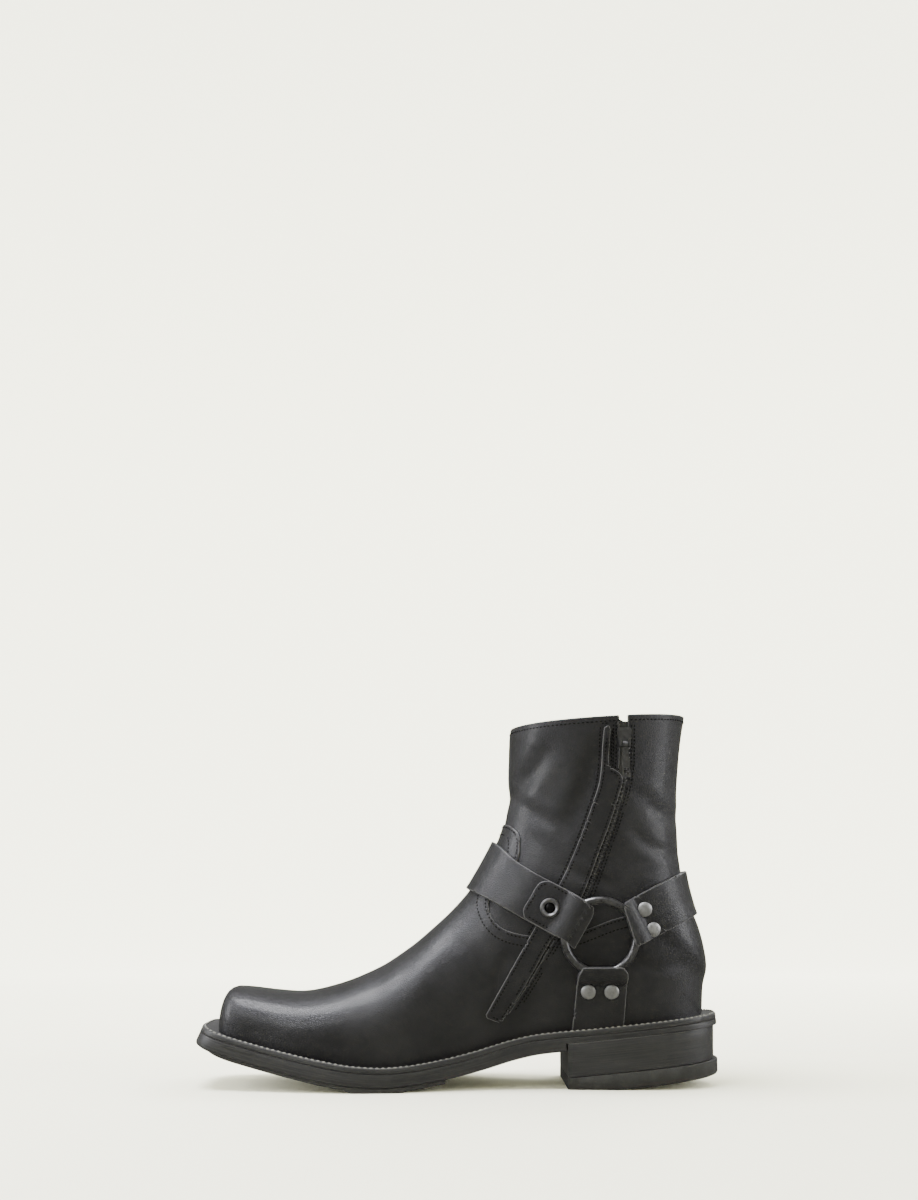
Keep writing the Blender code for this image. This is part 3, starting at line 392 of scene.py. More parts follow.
def section(t):
    """The upper's section at t: 0 to 1 in the toe's nose, 1 to N along the rows."""
    if t < 1.0:
        x = TOE_TIP + (SECTIONS[0][0] - TOE_TIP) * t ** 3
        base = list(SECTIONS[0])
        rise = swell((x - TOE_TIP) / NOSE_RISE, 2.5)
        base[0] = x
        base[1] = feather_z(x) + (base[1] + 0.9 - feather_z(x)) * rise
        base[1] -= 0.9 * t ** 6
        base[2] = x
        widening = column(FEATHER_PLAN, x, 1) / column(FEATHER_PLAN, SECTIONS[0][0], 1)
        nose = swell((x - TOE_TIP) / NOSE_PLAN, 4.0)
        base[5] *= nose * widening
        base[6] *= nose * widening
    else:
        last = len(SECTIONS) - 1
        low = min(int(t - 1.0), last - 1)
        u = t - 1.0 - low
        ring = [SECTIONS[min(max(low + k, 0), last)] for k in (-1, 0, 1, 2)]
        base = []
        for index in range(9):
            cells = [row[index] for row in ring]
            if index == 3:
                cells = [feather_z(r[2]) if r[3] is None else r[3] for r in ring]
            a, b, c, d = cells
            value = b + 0.5 * u * (
                c - a + u * (2 * a - 5 * b + 4 * c - d + u * (3 * (b - c) + d - a))
            )
            base.append(value)
    on_feather = t <= feather_last()
    if on_feather:
        base[3] = feather_z(base[2])
    feet = []
    for side in (-1, 1):
        width = half_width(
            FEATHER_PLAN, base[2], side, TOE_TIP, FEATHER_HEEL, NOSE_PLAN, 38.8)
        feet.append(width if on_feather else 0.0)
    return base, feet


def feather_last():
    """The last section that ends on the feather line, as a section number."""
    return 1.0 + max(i for i, row in enumerate(SECTIONS) if row[3] is None)


def upper_point(cross_section, across):
    """A point of the upper; across runs -1 at the inner foot to 1 at the outer."""
    base, feet = cross_section
    top_x, top_z, foot_x, foot_z, widest, inner, outer, crown, lean = base
    side = -1 if across < 0.0 else 1
    foot = feet[0] if side < 0 else feet[1]
    width = max(inner if side < 0 else outer, foot * 1.02)
    climb = 1.0 - abs(across)
    split = widest
    if width < 1e-6:
        share, half = climb, 0.0
    elif climb < split:
        end = math.acos(min((foot / width) ** (FOOT_SQUARE / 2.0), 1.0))
        angle = end * (1.0 - climb / split)
        full = math.sin(end) ** (2.0 / FOOT_SQUARE)
        share = widest * (1.0 - math.sin(angle) ** (2.0 / FOOT_SQUARE) / full)
        half = width * math.cos(angle) ** (2.0 / FOOT_SQUARE)
    else:
        angle = (climb - split) / (1.0 - split) * math.pi / 2.0
        share = widest + (1.0 - widest) * math.sin(angle) ** (2.0 / crown)
        half = width * max(math.cos(angle), 0.0) ** (2.0 / crown)
    x = foot_x + (top_x - foot_x) * share
    z = foot_z + (top_z - foot_z) * share
    y = side * half + lean * max(share - widest, 0.0) / (1.0 - widest)
    return x, y, z


def band(line, half):
    """Outline of a strip of even width about a line of points."""
    left, right = [], []
    for i, (x, z) in enumerate(line):
        before = line[max(i - 1, 0)]
        after = line[min(i + 1, len(line) - 1)]
        along = Vector((after[0] - before[0], after[1] - before[1])).normalized()
        left.append((x - along.y * half, z + along.x * half))
        right.append((x + along.y * half, z - along.x * half))
    return left + right[::-1]


def place(x, y, z):
    """A point of the tables, in metres in the shared frame."""
    return Vector(((x + SHIFT_X) * MM, (y + SHIFT_Y) * MM, z * MM))


def settings():
    """The sizes and colours that the panel shows."""
    return bpy.context.scene.boot_sizes, bpy.context.scene.boot_colours


def smooth_line(points, steps=6):
    """A curve through points, as a finer open line."""
    line = []
    last = len(points) - 1
    for i in range(last):
        a, b, c, d = (np.array(points[min(max(i + k, 0), last)]) for k in (-1, 0, 1, 2))
        for step in range(steps):
            u = step / steps
            line.append(tuple(b + 0.5 * u * (
                c - a + u * (2 * a - 5 * b + 4 * c - d + u * (3 * (b - c) + d - a)))))
    return line + [tuple(points[last])]


def line_distance(spots, line):
    """Distance of each spot to an open line, and how far along the nearest part is."""
    best = np.full(len(spots), 1e9)
    along = np.zeros(len(spots))
    pieces = len(line) - 1
    for i in range(pieces):
        a, b = np.array(line[i]), np.array(line[i + 1])
        way = b - a
        u = np.clip(((spots - a) @ way) / max(way @ way, 1e-9), 0.0, 1.0)
        away = np.hypot(*(spots - a - u[:, None] * way).T)
        nearer = away < best
        best = np.where(nearer, away, best)
        along = np.where(nearer, (i + u) / pieces, along)
    return best, along


def inside_distance(spots, outline):
    """Distance of each spot to a closed outline, positive inside it."""
    loop = list(outline) + [outline[0]]
    away, _ = line_distance(spots, loop)
    inside = np.zeros(len(spots), bool)
    x, z = spots[:, 0], spots[:, 1]
    for (x1, z1), (x2, z2) in zip(loop, loop[1:]):
        if z1 == z2:
            continue
        crosses = (z1 > z) != (z2 > z)
        inside ^= crosses & (x < x1 + (z - z1) * (x2 - x1) / (z2 - z1))
    return np.where(inside, away, -away)


def region(outline, inset, side=0):
    """How far points are inside an outline less an inset, on one side or both."""
    def distance_of(spots):
        distance = inside_distance(flat_of(spots), outline) - inset
        if side:
            distance = np.where(spots[:, 1] * side > SIDE_FROM, distance, FAR_OUT)
        return distance
    return distance_of


def vamp_outline():
    """Everything under the vamp's edge."""
    far = [(165.0, -20.0), (-165.0, -20.0), (-165.0, 120.0), (-20.0, 150.0)]
    return smooth_line(VAMP_EDGE) + far


def strap_outline(points, split):
    """A strap's outline, with both of its long edges as curves."""
    return smooth_line(points[:split]) + smooth_line(points[split:])


def guard_outline():
    """The strip of leather over the zip."""
    return smooth_line(GUARD_LEFT[::-1]) + smooth_line(GUARD_RIGHT[::-1])


def slit_outline(front, behind):
    """The zip's slit, from above the collar down to its end."""
    line = smooth_line(ZIP_LINE, 3)
    return band(line, behind)[:len(line)] + band(line, front)[len(line):]


class Skin:
    """The upper's outer face as a fine grid of points and normals."""

    def __init__(self):
        marks = [i / NOSE_ROWS for i in range(NOSE_ROWS)]
        count = (len(SECTIONS) - 1) * ROWS_BETWEEN
        marks += [1.0 + i / ROWS_BETWEEN for i in range(count + 1)]
        self.rows = len(marks)
        self.columns = 2 * HALF_COLUMNS + 1
        spots = np.zeros((self.rows, self.columns, 3))
        for row, t in enumerate(marks):
            cross_section = section(t)
            for step in range(self.columns):
                across = step / HALF_COLUMNS - 1.0
                spots[row, step] = upper_point(cross_section, across)
        along = np.gradient(spots, axis=0)
        across = np.gradient(spots, axis=1)
        normals = np.cross(across, along)
        normals[0] = (-1.0, 0.0, 0.0)
        size = np.linalg.norm(normals, axis=2, keepdims=True)
        normals = normals / np.maximum(size, 1e-9)
        if normals[self.rows // 2, self.columns // 4][1] > 0.0:
            normals[1:] = -normals[1:]
        seam = [row for row, t in enumerate(marks) if t > feather_last()]
        joined = normals[seam, 0] + normals[seam, -1]
        joined /= np.linalg.norm(joined, axis=1, keepdims=True)
        normals[seam, 0] = normals[seam, -1] = joined
        self.spots = spots.reshape(-1, 3)
        self.normals = normals.reshape(-1, 3)
        self.tree = None

    def mesh(self):
        """The grid as a bmesh in millimetres, with each point's normal kept on it."""
        bm = bmesh.new()
        kept = bm.verts.layers.float_vector.new("normal")
        bmesh.ops.create_grid(
            bm, x_segments=self.columns - 1, y_segments=self.rows - 1, size=1.0)
        for vert, spot, normal in zip(bm.verts, self.spots, self.normals):
            vert.co = spot
            vert[kept] = normal
        bmesh.ops.remove_doubles(bm, verts=bm.verts[:], dist=0.001)
        bmesh.ops.triangulate(bm, faces=bm.faces[:])
        return bm

    def hit(self, x, z, side):
        """Point and normal on one side, where a level line across the boot meets it."""
        if self.tree is None:
            bm = self.mesh()
            self.tree = BVHTree.FromBMesh(bm)
            bm.free()
        spot, normal, _, _ = self.tree.ray_cast(
            Vector((x, side * 120.0, z)), Vector((0.0, -side, 0.0)))
        if normal.y * side < 0.0:
            normal = -normal
        return spot, normal


def skin():
    """The upper's surface, made once."""
    if "skin" not in STORE:
        STORE["skin"] = Skin()
    return STORE["skin"]


def sorted_out(bm):
    """The points of a bmesh and their kept normals, as arrays."""
    kept = bm.verts.layers.float_vector["normal"]
    spots = np.array([vert.co[:] for vert in bm.verts])
    normals = np.array([vert[kept][:] for vert in bm.verts])
    normals /= np.maximum(np.linalg.norm(normals, axis=1, keepdims=True), 1e-9)
    return spots, normals


def trim(bm, distance_of):
    """Keep the part of a surface whose distance is positive, with a clean edge."""
    level = bm.verts.layers.float.new("distance")
    spots, _ = sorted_out(bm)
    distance = distance_of(spots)
    distance[np.abs(distance) < 0.05] = 0.0
    for vert, value in zip(bm.verts, distance):
        vert[level] = value
    share = {}
    for edge in bm.edges:
        first, second = (vert[level] for vert in edge.verts)
        if first * second < 0.0:
            share[edge] = first / (first - second)
    bmesh.ops.subdivide_edges(bm, edges=list(share), cuts=1, edge_percents=share)
    out = [face for face in bm.faces
           if min(vert[level] for vert in face.verts) < -0.02]
    bmesh.ops.delete(bm, geom=out, context="FACES")
    loose = [vert for vert in bm.verts if not vert.link_faces]
    bmesh.ops.delete(bm, geom=loose, context="VERTS")
    bmesh.ops.dissolve_degenerate(bm, dist=0.01, edges=bm.edges[:])
    bm.verts.layers.float.remove(bm.verts.layers.float["distance"])


def creased(spots, share=1.0):
    """How far the soft creases lift each point, in millimetres."""
    sizes, _ = settings()
    flat = spots[:, [0, 2]]
    total = np.zeros(len(spots))
    for side, width, depth, line in CREASES:
        away, along = line_distance(flat, smooth_line(line, 4))
        fade = np.sin(np.clip(along * 0.9 + 0.05, 0.0, 1.0) * math.pi) ** 0.6
        trough = np.exp(-(away / width) ** 2)
        ridge = np.exp(-((away - 1.9 * width) / width) ** 2)
        one = (0.35 * ridge - trough) * depth * fade
        if side:
            one *= 1.0 / (1.0 + np.exp(-np.clip(spots[:, 1] * side / 3.0, -30.0, 30.0)))
        total += one
    wave = (
        np.sin(flat[:, 0] * 0.13 + 1.3 * np.sin(flat[:, 1] * 0.09))
        + np.sin(flat[:, 1] * 0.11 + 1.7 * np.sin(flat[:, 0] * 0.07 + 1.0)))
    return share * sizes.crease_depth * (total + 0.12 * wave)


def lifted(height, share=1.0):
    """A lift of one height over the creased surface."""
    return lambda spots, normals=None: height + creased(spots, share)


def edge_frames(bm, edges):
    """For each point on an edge line, its way outwards from the panel."""
    kept = bm.verts.layers.float_vector["normal"]
    ways = {}
    for edge in edges:
        face = edge.link_faces[0]
        middle = (edge.verts[0].co + edge.verts[1].co) / 2.0
        inward = face.calc_center_median() - middle
        along = edge.verts[1].co - edge.verts[0].co
        for vert in edge.verts:
            out = Vector(vert[kept]).normalized().cross(along)
            if out.dot(inward) > 0.0:
                out = -out
            ways[vert] = ways.get(vert, Vector()) + out
    return {vert: way.normalized() for vert, way in ways.items()}


def roll_edge(bm, edges, rows, base_of):
    """Turn a panel's edge down in rows of (outwards, down); the last sits on the base."""
    kept = bm.verts.layers.float_vector["normal"]
    wear_and_edge_sheen = bm.verts.layers.float["edge"]
    ways = edge_frames(bm, edges)
    start = {vert: vert.co.copy() for vert in ways}
    origin = {vert: vert for vert in ways}
    for number, (out, down) in enumerate(rows):
        made = bmesh.ops.extrude_edge_only(bm, edges=edges)["geom"]
        edges = [item for item in made if isinstance(item, bmesh.types.BMEdge)
                 and item.is_boundary]
        fresh = [item for item in made if isinstance(item, bmesh.types.BMVert)]
        was = {}
        for vert in fresh:
            for edge in vert.link_edges:
                other = edge.other_vert(vert)
                if other in origin and other not in fresh:
                    near = (other.co - vert.co).length
                    if vert not in was or near < was[vert][0]:
                        was[vert] = (near, other)
        following = {}
        for vert in fresh:
            first = origin[was[vert][1]]
            following[vert] = first
            normal = Vector(first[kept]).normalized()
            spot = start[first] + ways[first] * out - normal * down
            if number == len(rows) - 1:
                spot = Vector(base_of(first)) + ways[first] * out
            vert.co = spot
            # Marks the rolled edge for the painted highlight along it
            vert[wear_and_edge_sheen] = 1.0
        origin = following
    return edges


def open_edges(bm):
    """The open edges of a bmesh."""
    return [edge for edge in bm.edges if edge.is_boundary]


def finish_mesh(bm, name, look, body="root", sharp=40.0):
    """Write a bmesh to an object at the origin that rides on a body."""
    for vert in bm.verts:
        vert.co = place(*vert.co)
    mesh = bpy.data.meshes.new(name)
    bm.to_mesh(mesh)
    bm.free()
    mesh.materials.append(look)
    mesh.shade_smooth()
    if sharp:
        mesh.set_sharp_from_angle(angle=math.radians(sharp))
    result = bpy.data.objects.new(name, mesh)
    bpy.context.scene.collection.objects.link(result)
    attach(result, body)
    return result


def face_out(bm, outwards):
    """Turn all faces outwards, or inwards, by the normal kept on the largest."""
    bmesh.ops.recalc_face_normals(bm, faces=bm.faces[:])
    kept = bm.verts.layers.float_vector["normal"]
    face = max(bm.faces, key=lambda item: item.calc_area())
    if (face.normal.dot(Vector(face.verts[0][kept])) < 0.0) == outwards:
        bmesh.ops.reverse_faces(bm, faces=bm.faces[:])


def panel(name, distance_of, lift_of, roll, look, fine=0, under=UNDER):
    """One layer of leather on the upper, with its edges rolled down to what is under."""
    bm = skin().mesh()
    trim(bm, distance_of)
    if fine:
        bmesh.ops.subdivide_edges(bm, edges=bm.edges[:], cuts=fine, use_grid_fill=True)
        bmesh.ops.triangulate(bm, faces=[f for f in bm.faces if len(f.verts) > 4])
    spots, normals = sorted_out(bm)
    bm.verts.layers.float.new("edge")
    # The foot attribute marks the leather just over the welt for painted shade
    foot = bm.verts.layers.float.new("foot")
    above = spots[:, 2] - np.array([feather_z(x) for x in spots[:, 0]])
    for vert, share in zip(bm.verts, np.clip((WELT_SHADE_HIGH - above) / WELT_SHADE_FADE, 0.0, 1.0)):
        vert[foot] = share
    lifts = lift_of(spots, normals)
    if lifts.ndim == 1:
        lifts = normals * lifts[:, None]
    base = {}
    for vert, spot, normal, lift in zip(bm.verts, spots, normals, lifts):
        base[vert] = spot + normal * under
        vert.co = spot + lift
    edges = open_edges(bm)
    if roll and edges:
        roll_edge(bm, edges, roll, lambda vert: base[vert])
    face_out(bm, True)
    bm.verts.layers.float_vector.remove(bm.verts.layers.float_vector["normal"])
    return finish_mesh(bm, name, look)


def round_roll(radius, deep):
    """Rows that round an edge off and take it down."""
    turn = [(radius * math.sin(a), radius * (1.0 - math.cos(a)))
            for a in (0.5, 0.95, 1.35, 1.57)]
    return turn + [(radius, deep), (radius, deep)]


def contours(distance_of):
    """The lines on the upper where a distance is nought, in order, with normals."""
    bm = skin().mesh()
    trim(bm, distance_of)
    kept = bm.verts.layers.float_vector["normal"]
    spots, _ = sorted_out(bm)
    flat = np.abs(distance_of(spots)) < 0.12
    on_line = {vert for vert, good in zip(bm.verts, flat) if good}
    edges = [edge for edge in bm.edges
             if edge.is_boundary and all(vert in on_line for vert in edge.verts)]
    links = {}
    for edge in edges:
        a, b = edge.verts
        links.setdefault(a, []).append(b)
        links.setdefault(b, []).append(a)
    lines, used = [], set()
    starts = [vert for vert, others in links.items() if len(others) == 1] + list(links)
    for start in starts:
        if start in used:
            continue
        chain, here = [start], start
        used.add(start)
        while True:
            onward = [v for v in links[here] if v not in used]
            if not onward:
                break
            here = onward[0]
            used.add(here)
            chain.append(here)
        if len(chain) > 3:
            lines.append([(v.co.copy(), Vector(v[kept]).normalized()) for v in chain])
    bm.free()
    return lines


def stepped(line, pitch):
    """Even steps along a line of (point, normal): middle, direction and normal."""
    result = []
    due, gone = pitch / 2.0, 0.0
    for (a, na), (b, nb) in zip(line, line[1:]):
        length = (b - a).length
        while length > 0.0 and gone + length >= due:
            u = (due - gone) / length
            result.append((a.lerp(b, u), (b - a).normalized(), na.lerp(nb, u).normalized()))
            due += pitch
        gone += length
    return result


def stitches(name, lines, lift_of, look, pitch=None, size=None, keep=None):
    """One mesh of small thread beads laid along lines."""
    sizes, _ = settings()
    pitch = pitch or sizes.stitch_pitch
    wide = size or sizes.stitch_width
    steps = [step for line in lines for step in stepped(line, pitch)]
    spots = np.array([step[0][:] for step in steps])
    kept = keep(spots) if keep else np.ones(len(spots), bool)
    lifts = lift_of(spots)
    beads = [(step, lift) for step, lift, good in zip(steps, lifts, kept) if good]
    whole = bmesh.new()
    for first in range(0, len(beads), STITCH_BATCH):
        bm = bmesh.new()
        for (spot, along, normal), lift in beads[first:first + STITCH_BATCH]:
            side = normal.cross(along).normalized()
            along = side.cross(normal)
            turn = Matrix((along, side, normal)).transposed().to_4x4()
            grow = Matrix.Diagonal((pitch * 0.33, wide / 2.0, wide * 0.42, 1.0))
            bmesh.ops.create_uvsphere(
                bm, u_segments=7, v_segments=5, radius=1.0,
                matrix=Matrix.Translation(spot + normal * (lift + 0.05)) @ turn @ grow
                @ Matrix.Rotation(math.pi / 2.0, 4, "Y"))
        part = bpy.data.meshes.new("beads")
        bm.to_mesh(part)
        bm.free()
        whole.from_mesh(part)
        bpy.data.meshes.remove(part)
    return finish_mesh(whole, name, look, sharp=0.0)


class Look:
    """A material that is being wired up."""

    def __init__(self, name):
        self.result = bpy.data.materials.new(name)
        self.result.use_nodes = True
        self.tree = self.result.node_tree
        self.shader = self.tree.nodes["Principled BSDF"]

    def wire(self, socket, value):
        """Link a socket to another one, or give it a value."""
        if isinstance(value, bpy.types.NodeSocket):
            self.tree.links.new(value, socket)
        else:
            socket.default_value = value

    def node(self, kind, values=None, **options):
        """A node with its options and unlinked inputs set."""
        made = self.tree.nodes.new(kind)
        for key, value in options.items():
            setattr(made, key, value)
        for key, value in (values or {}).items():
            self.wire(made.inputs[key], value)
        return made

    def set(self, **values):
        """Inputs of the shader; spaces are written as underscores."""
        for key, value in values.items():
            self.wire(self.shader.inputs[key.replace("_", " ")], value)

    def coords(self, scale=(1.0, 1.0, 1.0)):
        """Object coordinates in millimetres."""
        source = self.node("ShaderNodeTexCoord")
        size = tuple(value / MM for value in scale)
        return self.node("ShaderNodeMapping", {
            "Vector": source.outputs["Object"], "Scale": size}).outputs["Vector"]

    def noise(self, where, scale, detail=3.0, roughness=0.5, distortion=0.0):
        """A noise texture's value."""
        return self.node("ShaderNodeTexNoise", {
            "Vector": where, "Scale": scale, "Detail": detail,
            "Roughness": roughness, "Distortion": distortion}).outputs["Fac"]

    def ramp(self, value, low, high, start=0.0, end=1.0):
        """A value spread from one range to another."""
        return self.node("ShaderNodeMapRange", {
            "Value": value, "From Min": low, "From Max": high,
            "To Min": start, "To Max": end}, clamp=True).outputs["Result"]

    def sums(self, kind, a, b):
        """One step of arithmetic."""
        made = self.node("ShaderNodeMath", operation=kind)
        for socket, value in zip(made.inputs, (a, b)):
            self.wire(socket, value)
        return made.outputs["Value"]

    def blend(self, share, first, second):
        """Two colours mixed by a value."""
        made = self.node("ShaderNodeMix", data_type="RGBA")
        for index, value in ((0, share), (6, first), (7, second)):
            if index and not isinstance(value, bpy.types.NodeSocket):
                value = (*value[:3], 1.0)
            self.wire(made.inputs[index], value)
        return made.outputs[2]

    def bump(self, height, deep, strength=1.0, before=None):
        """A bump of a real depth in millimetres."""
        values = {"Height": height, "Distance": deep * MM, "Strength": strength}
        if before:
            values["Normal"] = before
        return self.node("ShaderNodeBump", values).outputs["Normal"]


def dimmed(colour, share):
    """A colour made darker or lighter."""
    return tuple(value * share for value in colour[:3])


def leather(name, colour, gloss=0.34, grain=1.0, coat=0.22):
    """Smooth finished leather: pores, fine wrinkles, soft scuffs and a thin finish, with a
    painted highlight along rolled edges and painted shade over the welt.
    """
    look = Look(name)
    sizes, _ = settings()
    where = look.coords()
    broad = look.noise(where, 0.035, 3.0)
    pores = look.node("ShaderNodeTexVoronoi", {
        "Vector": where, "Scale": 0.8, "Randomness": 1.0},
        feature="DISTANCE_TO_EDGE").outputs["Distance"]
    pebble = look.ramp(pores, 0.0, 0.22)
    fine = look.noise(where, 1.1, 4.0, 0.72)
    wrinkle = look.noise(where, 0.28, 5.0, 0.62, 1.4)
    streak = look.noise(look.coords((0.35, 0.35, 0.035)), 1.2, 4.0, 0.7, 0.6)
    scuff = look.ramp(streak, 0.66, 0.78)
    wear_and_edge_sheen = look.ramp(look.noise(where, 0.11, 5.0, 0.7), 0.56, 0.75)
    tone = look.blend(look.ramp(broad, 0.3, 0.7), dimmed(colour, 0.75), dimmed(colour, 1.25))
    tone = look.blend(look.sums("MULTIPLY", scuff, 0.35), tone, dimmed(colour, 3.2))
    edge = look.node("ShaderNodeAttribute", attribute_name="edge").outputs["Fac"]
    foot = look.node("ShaderNodeAttribute", attribute_name="foot").outputs["Fac"]
    # Painted highlight: the rolled edges are made much lighter
    tone = look.blend(look.sums("MULTIPLY", edge, 0.75), tone, dimmed(colour, 7.0))
    # Painted shade: the leather turns near black just over the welt, where the upper meets it
    tone = look.blend(foot, tone, dimmed(colour, 0.12))
    rough = look.ramp(broad, 0.3, 0.7, gloss - 0.05, gloss + 0.06)
    rough = look.sums("ADD", rough, look.sums("MULTIPLY", wear_and_edge_sheen, 0.10))
    rough = look.sums("ADD", rough, look.sums("MULTIPLY", fine, 0.08))
    rough = look.sums("ADD", rough, look.sums("MULTIPLY", foot, 0.5))
    normal = look.bump(wrinkle, 0.35, 0.35 * grain)
    normal = look.bump(pebble, 0.13, 0.9 * grain * sizes.grain_depth, normal)
    normal = look.bump(fine, 0.2, 0.85 * grain, normal)
    look.set(Base_Color=tone, Roughness=rough, Normal=normal)
    look.set(Coat_Weight=coat * 0.4, Coat_Roughness=0.2, Specular_IOR_Level=0.3,
             Specular_Tint=(*COOL, 1.0), Coat_Tint=(*COOL, 1.0))
    return look.result


def edge_leather(name, colour, lines=1.0, gloss=0.42):
    """Burnished sole leather, with fine lines along it from its layers."""
    look = Look(name)
    where = look.coords()
    deep = look.node("ShaderNodeAttribute", attribute_name="depth").outputs["Fac"]
    along = look.node("ShaderNodeSeparateXYZ", {"Vector": where})
    stretched = look.node("ShaderNodeCombineXYZ", {
        "X": look.sums("MULTIPLY", along.outputs["X"], 0.012),
        "Y": look.sums("MULTIPLY", along.outputs["Y"], 0.012),
        "Z": look.sums("MULTIPLY", deep, 1.0)}).outputs["Vector"]
    layer = look.noise(stretched, 1.6 * lines, 5.0, 0.72)
    fibre = look.noise(where, 1.9, 5.0, 0.7)
    nick = look.ramp(look.noise(where, 0.24, 4.0, 0.75), 0.62, 0.74)
    tone = look.blend(look.ramp(layer, 0.36, 0.66), dimmed(colour, 0.62), dimmed(colour, 1.5))
    tone = look.blend(look.sums("MULTIPLY", nick, 0.3), tone, dimmed(colour, 2.2))
    # Painted highlight: the top faces of the welt and heel block are made lighter
    tone = look.blend(look.ramp(deep, 0.1, 0.7, 0.5, 0.0), tone, dimmed(colour, 4.0))
    rough = look.sums("ADD", look.ramp(layer, 0.3, 0.7, gloss - 0.06, gloss + 0.08),
                      look.sums("MULTIPLY", fibre, 0.12))
    normal = look.bump(layer, 0.16, 0.7)
    normal = look.bump(fibre, 0.05, 0.6, normal)
    look.set(Base_Color=tone, Roughness=rough, Normal=normal)
    look.set(Coat_Weight=0.04, Coat_Roughness=0.3, Specular_IOR_Level=0.3,
             Specular_Tint=(*COOL, 1.0))
    return look.result


def rubber(name, colour):
    """Matt black rubber with a fine pitted face."""
    look = Look(name)
    where = look.coords()
    pit = look.noise(where, 1.4, 5.0, 0.7)
    dust = look.ramp(look.noise(where, 0.12, 4.0, 0.6), 0.45, 0.75)
    tone = look.blend(look.sums("MULTIPLY", dust, 0.5), dimmed(colour, 0.8), dimmed(colour, 1.9))
    look.set(Base_Color=tone, Roughness=look.ramp(pit, 0.2, 0.8, 0.55, 0.8),
             Normal=look.bump(pit, 0.12, 0.7))
    return look.result


def metal(name, colour, gloss, pits=0.3, scratch=0.5):
    """Plated metal with faint pits, tarnish and hairline scratches."""
    look = Look(name)
    where = look.coords()
    cloud = look.noise(where, 0.35, 4.0, 0.6)
    pit = look.noise(where, 2.2, 5.0, 0.75)
    hair = look.noise(look.coords((0.4, 6.0, 3.0)), 1.0, 3.0, 0.6, 0.4)
    tone = look.blend(look.ramp(cloud, 0.35, 0.7), dimmed(colour, 0.8), dimmed(colour, 1.3))
    rough = look.ramp(cloud, 0.3, 0.7, gloss, gloss + 0.12)
    rough = look.sums("ADD", rough, look.sums("MULTIPLY", look.ramp(pit, 0.5, 0.7), 0.12))
    normal = look.bump(pit, 0.09, pits)
    normal = look.bump(hair, 0.02, scratch, normal)
    look.set(Base_Color=tone, Roughness=rough, Metallic=0.92, Normal=normal)
    return look.result


def thread(name, colour):
    """Waxed thread, twisted."""
    look = Look(name)
    twist = look.noise(look.coords((3.0, 1.0, 3.0)), 1.6, 3.0, 0.6, 0.6)
    look.set(Base_Color=look.blend(twist, dimmed(colour, 0.6), dimmed(colour, 1.4)),
             Roughness=look.ramp(twist, 0.3, 0.7, 0.62, 0.85),
             Normal=look.bump(twist, 0.06, 0.7), Specular_IOR_Level=0.12)
    return look.result


def woven(name, colour):
    """The zip's tape: a close twill."""
    look = Look(name)
    where = look.coords()
    turned = look.node("ShaderNodeMapping", {
        "Vector": where, "Rotation": (0.0, 0.6, 0.0)}).outputs["Vector"]
    rib = look.node("ShaderNodeTexWave", {
        "Vector": turned, "Scale": 0.55, "Distortion": 0.5, "Detail": 2.0,
        "Detail Scale": 2.0}, bands_direction="X").outputs["Fac"]
    cross = look.node("ShaderNodeTexWave", {
        "Vector": turned, "Scale": 0.5, "Distortion": 0.5, "Detail": 2.0,
        "Detail Scale": 2.0}, bands_direction="Z").outputs["Fac"]
    weave = look.sums("MULTIPLY", rib, cross)
    look.set(Base_Color=look.blend(weave, dimmed(colour, 0.5), dimmed(colour, 1.6)),
             Roughness=look.ramp(weave, 0.0, 1.0, 0.85, 0.65),
             Normal=look.bump(weave, 0.12, 0.8), Sheen_Weight=0.2)
    return look.result


def looks():
    """Every material, made once."""
    if "looks" in STORE:
        return STORE["looks"]
    _, colours = settings()
    black = colours.leather
    made = {
        "shaft": leather("shaft leather", black, 0.36, 1.0),
        "vamp": leather("vamp leather", black, 0.31, 0.8, 0.3),
        "guard": leather("guard leather", black, 0.36, 1.0),
        "strap": leather("strap leather", black, 0.33, 0.9, 0.25),
        "lining": leather("lining leather", colours.lining, 0.6, 1.4, 0.0),
        "sole": edge_leather("sole edge", colours.sole),
        "heel": edge_leather("heel stack", colours.sole, 1.4, 0.46),
        "rubber": rubber("heel rubber", colours.sole),
        "ring": metal("ring metal", colours.metal, 0.24, 0.0, 0.03),
        "snap": metal("snap metal", dimmed(colours.metal, 1.6), 0.3, 0.05, 0.2),
        "snap_dome": metal("snap dome", dimmed(colours.metal, 0.15), 0.12, 0.0, 0.03),
        "rivet": metal("rivet metal", colours.rivet, 0.42, 1.0, 0.3),
        "zip": metal("zip metal", colours.metal, 0.28, 0.6, 0.6),
        "thread": thread("upper thread", colours.thread),
        "welt_thread": thread("welt thread", colours.welt_thread),
        "tape": woven("zip tape", (0.012, 0.012, 0.012)),
    }
    STORE["looks"] = made
    return made


def dress(name, look):
    """Give a solid that stays in view its material."""
    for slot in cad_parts[name].material_slots:
        slot.link = "OBJECT"
        slot.material = look


def flat_of(spots):
    """The side view of points."""
    return spots[:, [0, 2]]


def inner_only(spots, distance):
    """A distance that counts on the inner side alone."""
    return np.where(spots[:, 1] < -SIDE_FROM, distance, FAR_OUT)


def slit_distance(spots):
    """The zip's slit, on the inner side."""
    outline = slit_outline(SLIT_HALF, SLIT_BEHIND)
    return inner_only(spots, inside_distance(flat_of(spots), outline))


def shaft_distance(spots):
    """The shaft, down to its lap under the vamp, without the zip's slit."""
    above = VAMP_LAP - inside_distance(flat_of(spots), vamp_outline())
    slit = slit_distance(spots)
    return np.minimum(above, -slit)


def vamp_distance(spots):
    """The vamp, without the zip's slit."""
    whole = inside_distance(flat_of(spots), vamp_outline())
    slit = slit_distance(spots)
    return np.minimum(whole - 0.5, -slit)


